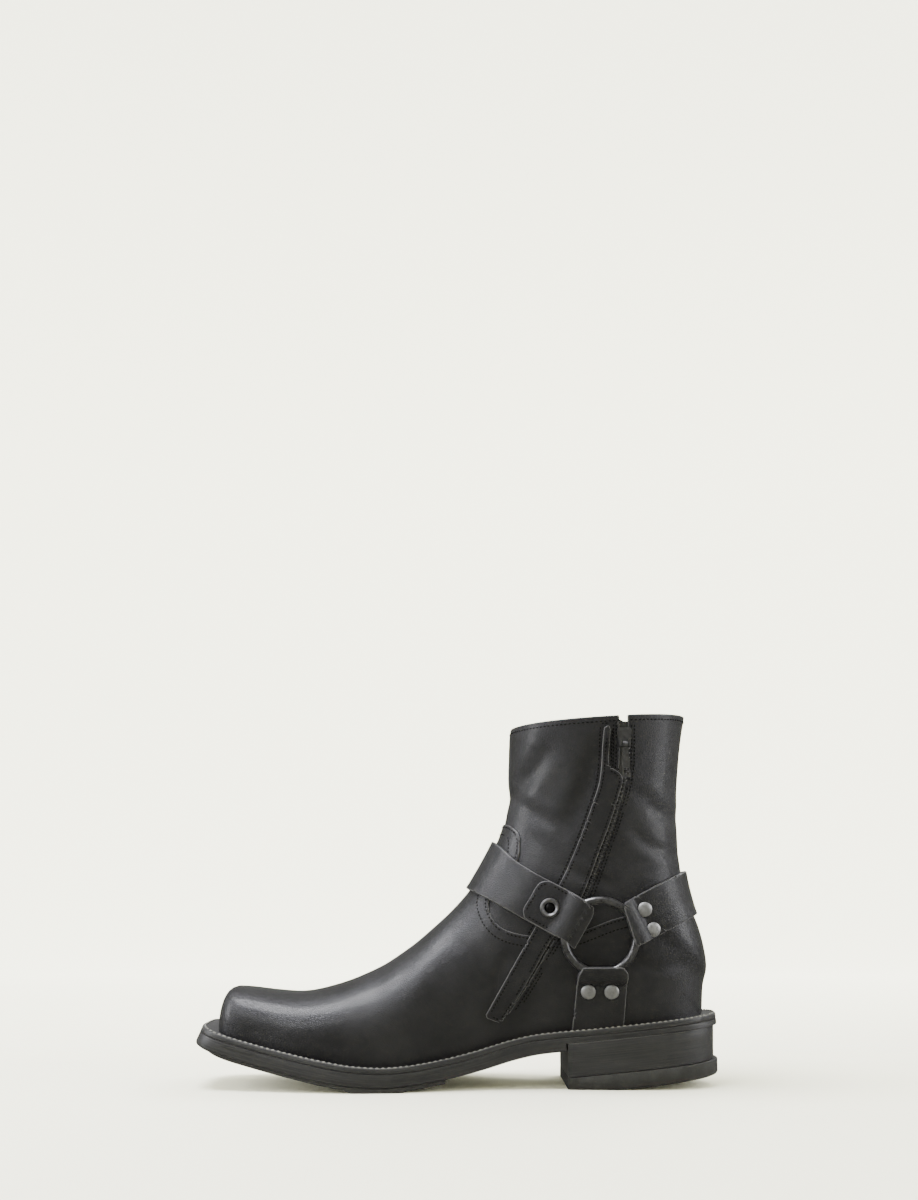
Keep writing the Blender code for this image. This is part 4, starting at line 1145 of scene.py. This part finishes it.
def guard_distance(spots):
    """The strip over the zip."""
    return inner_only(spots, inside_distance(flat_of(spots), guard_outline()) - 0.5)


def tape_distance(spots):
    """The zip's tape."""
    low = spots[:, 2] - TAPE_LOW
    tape = inside_distance(flat_of(spots), slit_outline(TAPE_HALF, TAPE_HALF))
    return inner_only(spots, np.minimum(np.minimum(tape, low), NOTCH_FROM - spots[:, 2]))


def lining_distance(spots):
    """The lining, with a notch where the zip meets the collar."""
    slit = inside_distance(flat_of(spots), slit_outline(NOTCH_HALF, SLIT_BEHIND))
    notch = inner_only(spots, np.minimum(slit, spots[:, 2] - NOTCH_FROM))
    return -notch


def ring_y(side):
    """How far out a ring stands on one side, in the tables' own millimetres."""
    low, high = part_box("ring_inner" if side < 0 else "ring_outer")
    return (low[1] + high[1]) / 2.0 / MM - SHIFT_Y


def fold_rise(spots, away, side, sunk):
    """How far out the strap's fold round the ring reaches at each point."""
    reach = (spots[:, 0] - RING_X) * away[0] + (spots[:, 2] - RING_Z) * away[1]
    crest = abs(ring_y(side)) + FOLD_COVER - 0.1 - sunk
    steps, drops = FOLD_FRONT if away == FRONT_AWAY else FOLD_BACK
    drop = np.interp(reach - FOLD_REACH, steps, drops, left=drops[0], right=60.0)
    return crest - drop


def strap_lift(height, ends, bumpy=0.0):
    """Lift of a strap that lies flat and rises over the ring at its ends."""
    def lift_of(spots, normals):
        moves = normals * (height + bumpy * creased(spots))[:, None]
        placed = spots + moves
        for side, away, sunk in ends:
            level = fold_rise(spots, away, side, sunk)
            here = placed[:, 1] * side
            gain = np.where(spots[:, 1] * side > 0.0, np.maximum(level - here, 0.0), 0.0)
            moves[:, 1] += side * gain
        return moves
    return lift_of


class BOOT_OT_upper(bpy.types.Operator):
    """Build the shaft, the vamp that laps it and the lining"""
    bl_idname = "boot.upper"
    bl_label = "Upper"

    def execute(self, context):
        made = looks()
        sizes, _ = settings()
        shaft = panel(
            "shaft", shaft_distance, lifted(0.0), round_roll(0.55, 1.3),
            made["shaft"], under=LINING_LIFT)
        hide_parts("upper")
        panel("vamp", vamp_distance, lifted(VAMP_LIFT), round_roll(sizes.edge_roll, 0.9),
              made["vamp"], under=0.1)
        bm = skin().mesh()
        trim(bm, lining_distance)
        spots, normals = sorted_out(bm)
        lifts = LINING_LIFT + creased(spots)
        for vert, spot, normal, lift in zip(bm.verts, spots, normals, lifts):
            vert.co = spot + normal * lift
        face_out(bm, False)
        finish_mesh(bm, "lining", made["lining"])
        return {"FINISHED"}


class BOOT_OT_zip(bpy.types.Operator):
    """Build the zip's tape and teeth, and the leather strip over them"""
    bl_idname = "boot.zip"
    bl_label = "Zip"

    def execute(self, context):
        made = looks()
        tape = panel("zip_tape", tape_distance, lifted(TAPE_LIFT),
                     None, made["tape"])
        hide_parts("zip_chain")
        teeth(made["zip"])
        guard = panel(
            "guard", guard_distance, lifted(GUARD_LIFT, 0.8),
            round_roll(0.5, 1.0), made["guard"], under=0.1)
        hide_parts("zip_guard")
        for name in ("zip_slider", "zip_pull"):
            dress(name, made["zip"])
        return {"FINISHED"}


def teeth(look):
    """Two rows of moulded teeth that mesh along the zip's line."""
    line = []
    for x, z in smooth_line(ZIP_LINE, 8):
        if TEETH_LOW < z < TEETH_HIGH:
            line.append(skin().hit(x, z, -1))
    bm = bmesh.new()
    for number, (spot, along, normal) in enumerate(stepped(line, TOOTH_PITCH)):
        side = normal.cross(along).normalized()
        reach = TOOTH_REACH if number % 2 else -TOOTH_REACH
        turn = Matrix((side, along, normal)).transposed().to_4x4()
        centre = spot + side * reach + normal * (TAPE_LIFT + 0.45)
        bmesh.ops.create_cube(bm, size=1.0, matrix=Matrix.Translation(centre) @ turn
                              @ Matrix.Diagonal((*TOOTH, 1.0)))
    bmesh.ops.bevel(bm, geom=bm.edges[:], offset=0.12, offset_type="OFFSET",
                    segments=1, profile=0.5, affect="EDGES", material=-1)
    return finish_mesh(bm, "zip_teeth", look, sharp=50.0)


class BOOT_OT_straps(bpy.types.Operator):
    """Build the four straps, the front one with its snapped tab"""
    bl_idname = "boot.straps"
    bl_label = "Straps"

    def execute(self, context):
        made = looks()
        front_ends = ((-1, FRONT_AWAY, UNDER_TAB), (1, FRONT_AWAY, 0.0))
        back_ends = ((-1, BACK_AWAY, 0.0), (1, BACK_AWAY, 0.0))
        roll = round_roll(0.6, 1.8)

        front = panel(
            "strap_over_instep", region(strap_outline(STRAP_FRONT, 7), STRAP_INSET),
            strap_lift(STRAP_LIFT, front_ends), roll, made["strap"], 1)
        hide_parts("strap_front")
        panel(
            "strap_tab", region(smooth_line(TAB), STRAP_INSET, -1),
            strap_lift(TAB_LIFT, ((-1, FRONT_AWAY, 0.0),)), round_roll(0.5, 1.6),
            made["strap"], 1, under=STRAP_LIFT)
        back = panel(
            "strap_round_heel", region(strap_outline(STRAP_BACK, 6), STRAP_INSET),
            strap_lift(SIDE_LIFT, back_ends), roll, made["strap"], 1)
        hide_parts("strap_back")
        for side, word in ((-1, "inner"), (1, "outer")):
            strap = panel(
                "strap_down_" + word, region(STRAP_SIDE, STRAP_INSET, side),
                strap_lift(SIDE_LIFT, ((side, SIDE_AWAY, 0.0),)), roll,
                made["strap"], 1)
            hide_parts("strap_side_" + word)
        return {"FINISHED"}


class BOOT_OT_stitches(bpy.types.Operator):
    """Sew the vamp, collar, zip strip and tab"""
    bl_idname = "boot.stitches"
    bl_label = "Stitches"

    def execute(self, context):
        look = looks()["thread"]

        guard = guard_outline()
        vamp = vamp_outline()
        slit = slit_outline(SLIT_HALF, SLIT_BEHIND)

        def off_guard(spots):
            inside = inside_distance(flat_of(spots), guard)
            return (spots[:, 1] > 0.0) | (inside < -0.6)

        def shaft_only(spots):
            above = inside_distance(flat_of(spots), vamp) < 0.0
            return off_guard(spots) & (spots[:, 2] < SEAM_TOP) & above

        def vamp_only(spots):
            below = inside_distance(flat_of(spots), vamp) > 0.5
            return off_guard(spots) & (spots[:, 2] > SEAM_LOW) & below

        def beside_guard(spots):
            return shaft_only(spots) & (spots[:, 0] < guard_middle(spots[:, 2]))

        def rows(outline, insets, side=0):
            return [line for inset in insets
                    for line in contours(region(outline, inset, side))]

        zip_rows = rows(slit, ZIP_SEAMS, -1)
        for name, lines, height, pitch, keep in (
                ("vamp_stitches", rows(vamp, VAMP_SEAMS), VAMP_LIFT, None, off_guard),
                ("guard_stitches", rows(guard, (GUARD_SEAM,), -1), GUARD_LIFT, ZIP_PITCH, None),
                ("zip_stitches_shaft", zip_rows, 0.0, ZIP_PITCH, shaft_only),
                ("zip_stitches_vamp", zip_rows, VAMP_LIFT, ZIP_PITCH, vamp_only),
                ("guard_side_stitches", rows(guard, ZIP_SEAMS[:1], -1), 0.0, ZIP_PITCH,
                 beside_guard)):
            stitches(name, lines, lifted(height), look, pitch=pitch,
                     keep=keep)
        stitches("tab_stitches", rows(smooth_line(TAB), (TAB_SEAM,), -1),
                 lambda spots: np.full(len(spots), TAB_LIFT), look,
                 pitch=TAB_PITCH,
                 keep=lambda spots: reach_of(spots) > FOLD_REACH + TAB_SEAM_FROM)
        grid = skin().spots.reshape(skin().rows, -1, 3)
        normals = skin().normals.reshape(skin().rows, -1, 3)
        collar = []
        for top, under, normal in zip(grid[-1], grid[-9], normals[-2]):
            down = Vector(under - top).normalized()
            collar.append((Vector(top) + down * COLLAR_SEAM, Vector(normal)))
        stitches("collar_stitches", [collar], lifted(0.0), look,
                 pitch=COLLAR_PITCH, keep=off_slit)
        return {"FINISHED"}


def guard_middle(z):
    """The zip strip's middle at a height."""
    return np.interp(z, [p[1] for p in ZIP_LINE[::-1]], [p[0] for p in ZIP_LINE[::-1]]) - 4.0


def reach_of(spots):
    """How far points are from the ring's middle towards the instep."""
    return (spots[:, 0] - RING_X) * FRONT_AWAY[0] + (spots[:, 2] - RING_Z) * FRONT_AWAY[1]


def off_slit(spots):
    """True where points are clear of the zip's slit."""
    distance = inside_distance(flat_of(spots), slit_outline(SLIT_HALF, SLIT_BEHIND + 1.0))
    return (spots[:, 1] > 0.0) | (distance < 0.0)


def turned(name, rows, spot, normal, look, slot, steps=40, body="root"):
    """A turned piece from a profile of (radius, height), standing on a point."""
    bm = bmesh.new()
    verts = [bm.verts.new((radius, 0.0, height)) for radius, height in rows]
    edges = [bm.edges.new(pair) for pair in zip(verts, verts[1:])]
    bmesh.ops.spin(
        bm, geom=verts + edges, cent=(0.0, 0.0, 0.0), axis=(0.0, 0.0, 1.0),
        angle=2.0 * math.pi, steps=steps, use_merge=True, use_duplicate=False)
    bmesh.ops.remove_doubles(bm, verts=bm.verts[:], dist=0.001)
    bmesh.ops.recalc_face_normals(bm, faces=bm.faces[:])
    turn = Vector((0.0, 0.0, 1.0)).rotation_difference(normal).to_matrix().to_4x4()
    bmesh.ops.transform(bm, matrix=Matrix.Translation(spot) @ turn, verts=bm.verts[:])
    return finish_mesh(bm, name, look, body=body, sharp=35.0)


def node_seat(name, side):
    """Where a CAD stud sits: its middle on the strap's side, and its way out."""
    low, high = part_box(name)
    middle = (Vector(low) + Vector(high)) / 2.0
    x, z = middle.x / MM - SHIFT_X, middle.z / MM
    _, normal = skin().hit(x, z, side)
    inner = high[1] if side < 0 else low[1]
    level = abs(inner / MM - SHIFT_Y)
    return Vector((x, side * level, z)), normal


class BOOT_OT_rivets(bpy.types.Operator):
    """Build the domed rivets and the snap"""
    bl_idname = "boot.rivets"
    bl_label = "Rivets and snap"

    def execute(self, context):
        made = looks()
        dome = [(RIVET_RADIUS * math.sin(a), 0.5 + RIVET_DOME * math.cos(a))
                for a in np.linspace(0.0, math.pi / 2.0, 11)]
        rows = dome + list(RIVET_FOOT)
        studs = [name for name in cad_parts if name.startswith("rivet_")]
        for name in sorted(studs):
            side = -1 if "inner" in name else 1
            spot, normal = node_seat(name, side)
            stud = turned(name + "_dome", rows, spot + normal * 0.1, normal,
                          made["rivet"], "rivet_metal")
            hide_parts(name)
        spot, normal = node_seat("snap_cap", -1)
        snap = turned("snap_rim", SNAP_RIM, spot, normal, made["snap"], "snap_metal", 56)
        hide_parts("snap_cap")
        turned("snap_dome", SNAP_DOME, spot, normal, made["snap_dome"], "snap_metal", 48)
        return {"FINISHED"}


class BOOT_OT_rings(bpy.types.Operator):
    """Build the two harness rings"""
    bl_idname = "boot.rings"
    bl_label = "Rings"

    def execute(self, context):
        made = looks()
        for side, word in ((-1, "inner"), (1, "outer")):
            bm = bmesh.new()
            made_circle = bmesh.ops.create_circle(
                bm, segments=28, radius=RING_WIRE,
                matrix=Matrix.Translation((RING_RADIUS, 0.0, 0.0))
                @ Matrix.Rotation(math.pi / 2.0, 4, "X"))
            geom = made_circle["verts"] + bm.edges[:]
            bmesh.ops.spin(
                bm, geom=geom, cent=(0.0, 0.0, 0.0), axis=(0.0, 0.0, 1.0),
                angle=2.0 * math.pi, steps=128, use_merge=True, use_duplicate=False)
            bmesh.ops.remove_doubles(bm, verts=bm.verts[:], dist=0.001)
            bmesh.ops.recalc_face_normals(bm, faces=bm.faces[:])
            bmesh.ops.transform(
                bm, verts=bm.verts[:],
                matrix=Matrix.Translation((RING_X, ring_y(side), RING_Z))
                @ Matrix.Rotation(math.pi / 2.0, 4, "X"))
            ring = finish_mesh(bm, "harness_ring_" + word, made["ring"],
                               body=word + "_ring", sharp=0.0)
            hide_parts("ring_" + word)
        return {"FINISHED"}


def stations(front, back, nose, heel, steps):
    """Stations along a sole outline, close together at both round ends."""
    nose_part = [front + nose * (i / 14) ** 3 for i in range(14)]
    start, stop = front + nose, back - heel
    middle = [start + (stop - start) * i / steps for i in range(steps)]
    round_part = [stop + heel * math.sin(i / 22 * math.pi / 2) for i in range(23)]
    return nose_part + middle + round_part


def slab(name, levels, look, front=SOLE_TOE, back=SOLE_HEEL, low=None, high=None,
         steps=60, height_of=None):
    """A layer of the sole from levels of (inset, depth), top to bottom."""
    bm = bmesh.new()
    depth_layer = bm.verts.layers.float.new("depth")
    marks = stations(0.0, 1.0, 0.055, 0.15, steps)
    ring = len(levels) * 2
    spots = []
    for share in marks:
        row = []
        for side, order in ((1, levels), (-1, levels[::-1])):
            for inset, depth in order:
                x = front + inset + (back - front - 2.0 * inset) * share
                if low is not None:
                    x = min(max(x, low), high)
                half = half_width(
                    SOLE_PLAN, x, side, front + inset, back - inset,
                    SOLE_NOSE, SOLE_ROUND)
                half = max(half - inset, 0.0) if 0.0 < share < 1.0 else 0.0
                if height_of:
                    spot = (x, side * half, height_of(x, depth))
                else:
                    z, up = sole_frame(x)
                    spot = (x - up[0] * depth, side * half, z - up[1] * depth)
                row.append((spot, depth))
        spots.append(row)
    if low is not None:
        spots = [row for i, row in enumerate(spots)
                 if i == 0 or row[0][0] != spots[i - 1][0][0]]
    bmesh.ops.create_grid(bm, x_segments=ring, y_segments=len(spots) - 1, size=1.0)
    bm.verts.ensure_lookup_table()
    for i, row in enumerate(spots):
        for k in range(ring + 1):
            vert = bm.verts[i * (ring + 1) + k]
            vert.co, vert[depth_layer] = row[k % ring]
    bmesh.ops.remove_doubles(bm, verts=bm.verts[:], dist=0.01)
    bmesh.ops.dissolve_degenerate(bm, dist=0.005, edges=bm.edges[:])
    bmesh.ops.holes_fill(bm, edges=open_edges(bm), sides=0)
    bmesh.ops.recalc_face_normals(bm, faces=bm.faces[:])
    return finish_mesh(bm, name, look, sharp=38.0)


class BOOT_OT_sole(bpy.types.Operator):
    """Build the welt with its stitches, the outsole, the tread and the heel"""
    bl_idname = "boot.sole"
    bl_label = "Sole and heel"

    def execute(self, context):
        made = looks()
        welt = slab("welt_strip", (
            (3.0, 0.1), (0.9, 0.0), (0.25, 0.15), (0.0, 0.6), (0.0, 2.9), (0.08, 3.15),
            (0.5, WELT_DEPTH + 0.15), (3.0, WELT_DEPTH + 0.15)),
            made["sole"])
        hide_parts("welt")
        outsole = slab("outsole_edge", (
            (2.0, OUTSOLE_TOP - 0.1), (0.3, OUTSOLE_TOP - 0.1), (0.08, OUTSOLE_TOP),
            (0.0, OUTSOLE_TOP + 0.25), (0.0, SEAT_DEPTH - 0.15), (0.2, SEAT_DEPTH + 0.1)),
            made["sole"])
        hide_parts("outsole")
        slab("outsole_forepart", (
            (0.0, SEAT_DEPTH - 0.2), (0.0, TREAD_TOP - 1.4), (0.35, TREAD_TOP - 0.4),
            (1.2, TREAD_TOP)), made["sole"], low=SOLE_TOE, high=BREAST_X - 1.8)
        tread = slab("tread_edge", (
            (1.2, TREAD_TOP + 0.1), (1.0, TREAD_TOP + 0.4), (1.0, TREAD_DEPTH - 0.5),
            (1.5, TREAD_DEPTH)), made["rubber"], low=SOLE_TOE,
            high=TREAD_BACK, height_of=tread_height)
        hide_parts("forefoot_tread")
        heel()
        welt_stitches()
        dress("insole", made["lining"])
        return {"FINISHED"}


def tread_height(x, depth):
    """Height of the tread's faces, flat where it stands."""
    z, up = sole_frame(x)
    height = max(z - up[1] * depth, 0.0)
    if depth > TREAD_TOP + 2.0 and TREAD_FLAT[0] < x < TREAD_FLAT[1]:
        return 0.0
    return height


def heel():
    """The stacked block and the rubber lift under it."""
    made = looks()

    def block_height(x, depth):
        top = sole_frame(x)[0] - sole_frame(x)[1][1] * (SEAT_DEPTH + GAP)
        low = column(LIFT_TOP, x, 1) + GAP
        return top + (low - top) * depth / 20.0

    def lift_height(x, depth):
        top = column(LIFT_TOP, x, 1)
        low = column(LIFT_LOW, x, 1)
        return top + (low - top) * depth / 8.0

    block = slab("heel_block", (
        (0.3, 0.0), (0.2, 0.2), (0.2, 6.0), (0.3, 13.0), (0.3, 19.8), (0.5, 20.0)),
        made["heel"], back=HEEL_BACK, low=BREAST_X, high=HEEL_BACK,
        height_of=block_height)
    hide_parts("heel_stack")
    lift = slab("heel_lift", (
        (0.6, 0.0), (0.3, 0.4), (0.3, 6.8), (0.8, 7.6), (1.8, 8.0)),
        made["rubber"], back=LIFT_BACK, low=BREAST_X, high=LIFT_BACK,
        height_of=lift_height)
    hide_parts("heel_top_lift")


def welt_stitches():
    """The row of stitches on top of the welt."""
    sizes, _ = settings()
    inset = WELT_SEAM
    line = {1: [], -1: []}
    for share in stations(0.0, 1.0, 0.055, 0.15, 90):
        x = SOLE_TOE + inset + (SOLE_HEEL - SOLE_TOE - 2.0 * inset) * share
        z, up = sole_frame(x)
        for side in (1, -1):
            half = half_width(SOLE_PLAN, x, side, SOLE_TOE + inset, SOLE_HEEL - inset,
                              SOLE_NOSE, SOLE_ROUND)
            y = side * max(half - inset, 0.0)
            line[side].append((Vector((x, y, z)), Vector((up[0], 0.0, up[1]))))
    whole = line[1] + line[-1][::-1]
    stitches("welt_stitches", [whole], lambda spots: np.zeros(len(spots)),
             looks()["welt_thread"], pitch=sizes.welt_pitch,
             size=WELT_THREAD)


class BOOT_OT_stage(bpy.types.Operator):
    """Set the floor, the soft lights and the camera"""
    bl_idname = "boot.stage"
    bl_label = "Stage"

    def execute(self, context):
        _, colours = settings()
        bm = bmesh.new()
        profile = [(0.0, 0.0), (1.2, 0.0), (1.8, 0.0), (2.2, 0.06), (2.6, 0.3),
                   (2.9, 0.8), (3.0, 1.6), (3.0, 4.0)]
        verts = [bm.verts.new((radius, 0.0, height)) for radius, height in
                 smooth_line(profile, 5)]
        edges = [bm.edges.new(pair) for pair in zip(verts, verts[1:])]
        bmesh.ops.spin(
            bm, geom=verts + edges, cent=(0.0, 0.0, 0.0), axis=(0.0, 0.0, 1.0),
            angle=2.0 * math.pi, steps=64, use_merge=True, use_duplicate=False)
        bmesh.ops.remove_doubles(bm, verts=bm.verts[:], dist=0.0001)
        bmesh.ops.recalc_face_normals(bm, faces=bm.faces[:])
        bmesh.ops.reverse_faces(bm, faces=bm.faces[:])
        mesh = bpy.data.meshes.new("floor")
        bm.to_mesh(mesh)
        bm.free()
        mesh.shade_smooth()
        look = Look("floor paper")
        speck = look.noise(look.coords(), 0.02, 3.0)
        depth = look.node("ShaderNodeSeparateXYZ", {
            "Vector": look.node("ShaderNodeTexCoord").outputs["Object"]}).outputs["Y"]
        look.set(Base_Color=look.blend(speck, dimmed(colours.floor, 0.99), colours.floor),
                 Roughness=0.8, Emission_Color=(*colours.floor[:3], 1.0),
                 Emission_Strength=look.ramp(depth, GLOW_FROM, GLOW_TO, 0.0, FLOOR_GLOW),
                 Specular_IOR_Level=0.1)
        mesh.materials.append(look.result)
        floor = bpy.data.objects.new("floor", mesh)
        context.scene.collection.objects.link(floor)
        floor.visible_glossy = False

        world = bpy.data.worlds.new("studio")
        world.use_nodes = True
        world.node_tree.nodes["Background"].inputs["Color"].default_value = (
            *colours.floor[:3], 1.0)
        world.node_tree.nodes["Background"].inputs["Strength"].default_value = WORLD_GLOW
        context.scene.world = world
        for name, at, aim, wide, long, power in LIGHTS:
            data = bpy.data.lights.new(name, "AREA")
            data.shape = "RECTANGLE"
            data.size, data.size_y, data.energy = wide, long, power
            lamp = bpy.data.objects.new(name, data)
            context.scene.collection.objects.link(lamp)
            lamp.visible_camera = False
            lamp.location = at
            lamp.rotation_euler = (Vector(aim) - Vector(at)).to_track_quat(
                "-Z", "Y").to_euler()

        lens = bpy.data.cameras.new("camera")
        lens.lens, lens.sensor_width = CAMERA_LENS, 36.0
        lens.shift_y = CAMERA_SHIFT
        camera = bpy.data.objects.new("camera", lens)
        context.scene.collection.objects.link(camera)
        camera.location = CAMERA_AT
        camera.rotation_euler = (math.radians(90.0 + CAMERA_PITCH), 0.0, 0.0)
        context.scene.camera = camera
        return {"FINISHED"}


def length(name, text, default):
    """A length in the sidebar, in the tables' millimetres."""
    return FloatProperty(name=name, description=text, default=default, min=0.0)


def colour(name, text, default):
    """A colour in the sidebar."""
    return FloatVectorProperty(
        name=name, description=text, default=default, subtype="COLOR", size=3,
        min=0.0, max=1.0)


class BootSizes(bpy.types.PropertyGroup):
    """Sizes of the boot's finish"""
    stitch_pitch: length("Stitch pitch", "Length of one stitch, mm", 2.3)
    stitch_width: length("Stitch width", "Thickness of the thread, mm", 0.85)
    welt_pitch: length("Welt pitch", "Length of one welt stitch, mm", 3.4)
    edge_roll: length("Edge roll", "Radius of the vamp's rolled edge, mm", 0.6)
    crease_depth: length("Crease depth", "Share of the creases' full depth", 1.0)
    grain_depth: length("Grain depth", "Share of the grain's full depth", 1.0)


class BootColours(bpy.types.PropertyGroup):
    """Colours of the boot"""
    leather: colour("Leather", "Black finished leather", (0.0085, 0.0085, 0.0092))
    lining: colour("Lining", "Dark lining leather", (0.035, 0.032, 0.030))
    sole: colour("Sole", "Burnished sole edge", (0.015, 0.015, 0.016))
    metal: colour("Metal", "Black nickel", (0.10, 0.10, 0.105))
    rivet: colour("Rivets", "Dull gunmetal", (0.34, 0.34, 0.35))
    # Black thread, set darker than the leather as painted shade in its stitch holes
    thread: colour("Thread", "Thread of the upper", (0.0025, 0.0025, 0.0026))
    welt_thread: colour("Welt thread", "Thread of the welt", (0.16, 0.16, 0.16))
    floor: colour("Floor", "Pale paper", (0.87, 0.865, 0.755))


class BOOT_PT_panel(bpy.types.Panel):
    """Lists the steps and what can be changed"""
    bl_label = "Harness boot"
    bl_space_type = "VIEW_3D"
    bl_region_type = "UI"
    bl_category = "Boot"

    def draw(self, context):
        for operator in OPERATORS:
            self.layout.operator(operator.bl_idname)
        for group in (context.scene.boot_sizes, context.scene.boot_colours):
            for name in group.bl_rna.properties.keys():
                if name not in ("rna_type", "name"):
                    self.layout.prop(group, name)


OPERATORS = (
    BOOT_OT_stage, BOOT_OT_upper, BOOT_OT_zip, BOOT_OT_straps, BOOT_OT_rings,
    BOOT_OT_rivets, BOOT_OT_sole, BOOT_OT_stitches,
)
CLASSES = (BootSizes, BootColours) + OPERATORS + (BOOT_PT_panel,)


def register():
    """Register the classes and the scene's settings."""
    for item in CLASSES:
        bpy.utils.register_class(item)
    bpy.types.Scene.boot_sizes = PointerProperty(type=BootSizes)
    bpy.types.Scene.boot_colours = PointerProperty(type=BootColours)


def unregister():
    """Take back what register added."""
    del bpy.types.Scene.boot_colours
    del bpy.types.Scene.boot_sizes
    for item in reversed(CLASSES):
        bpy.utils.unregister_class(item)


def main():
    """Build the whole boot."""
    register()
    bpy.ops.boot.stage()
    bpy.ops.boot.upper()
    bpy.ops.boot.zip()
    bpy.ops.boot.straps()
    bpy.ops.boot.rings()
    bpy.ops.boot.rivets()
    bpy.ops.boot.sole()
    bpy.ops.boot.stitches()


if __name__ == "__main__":
    main()
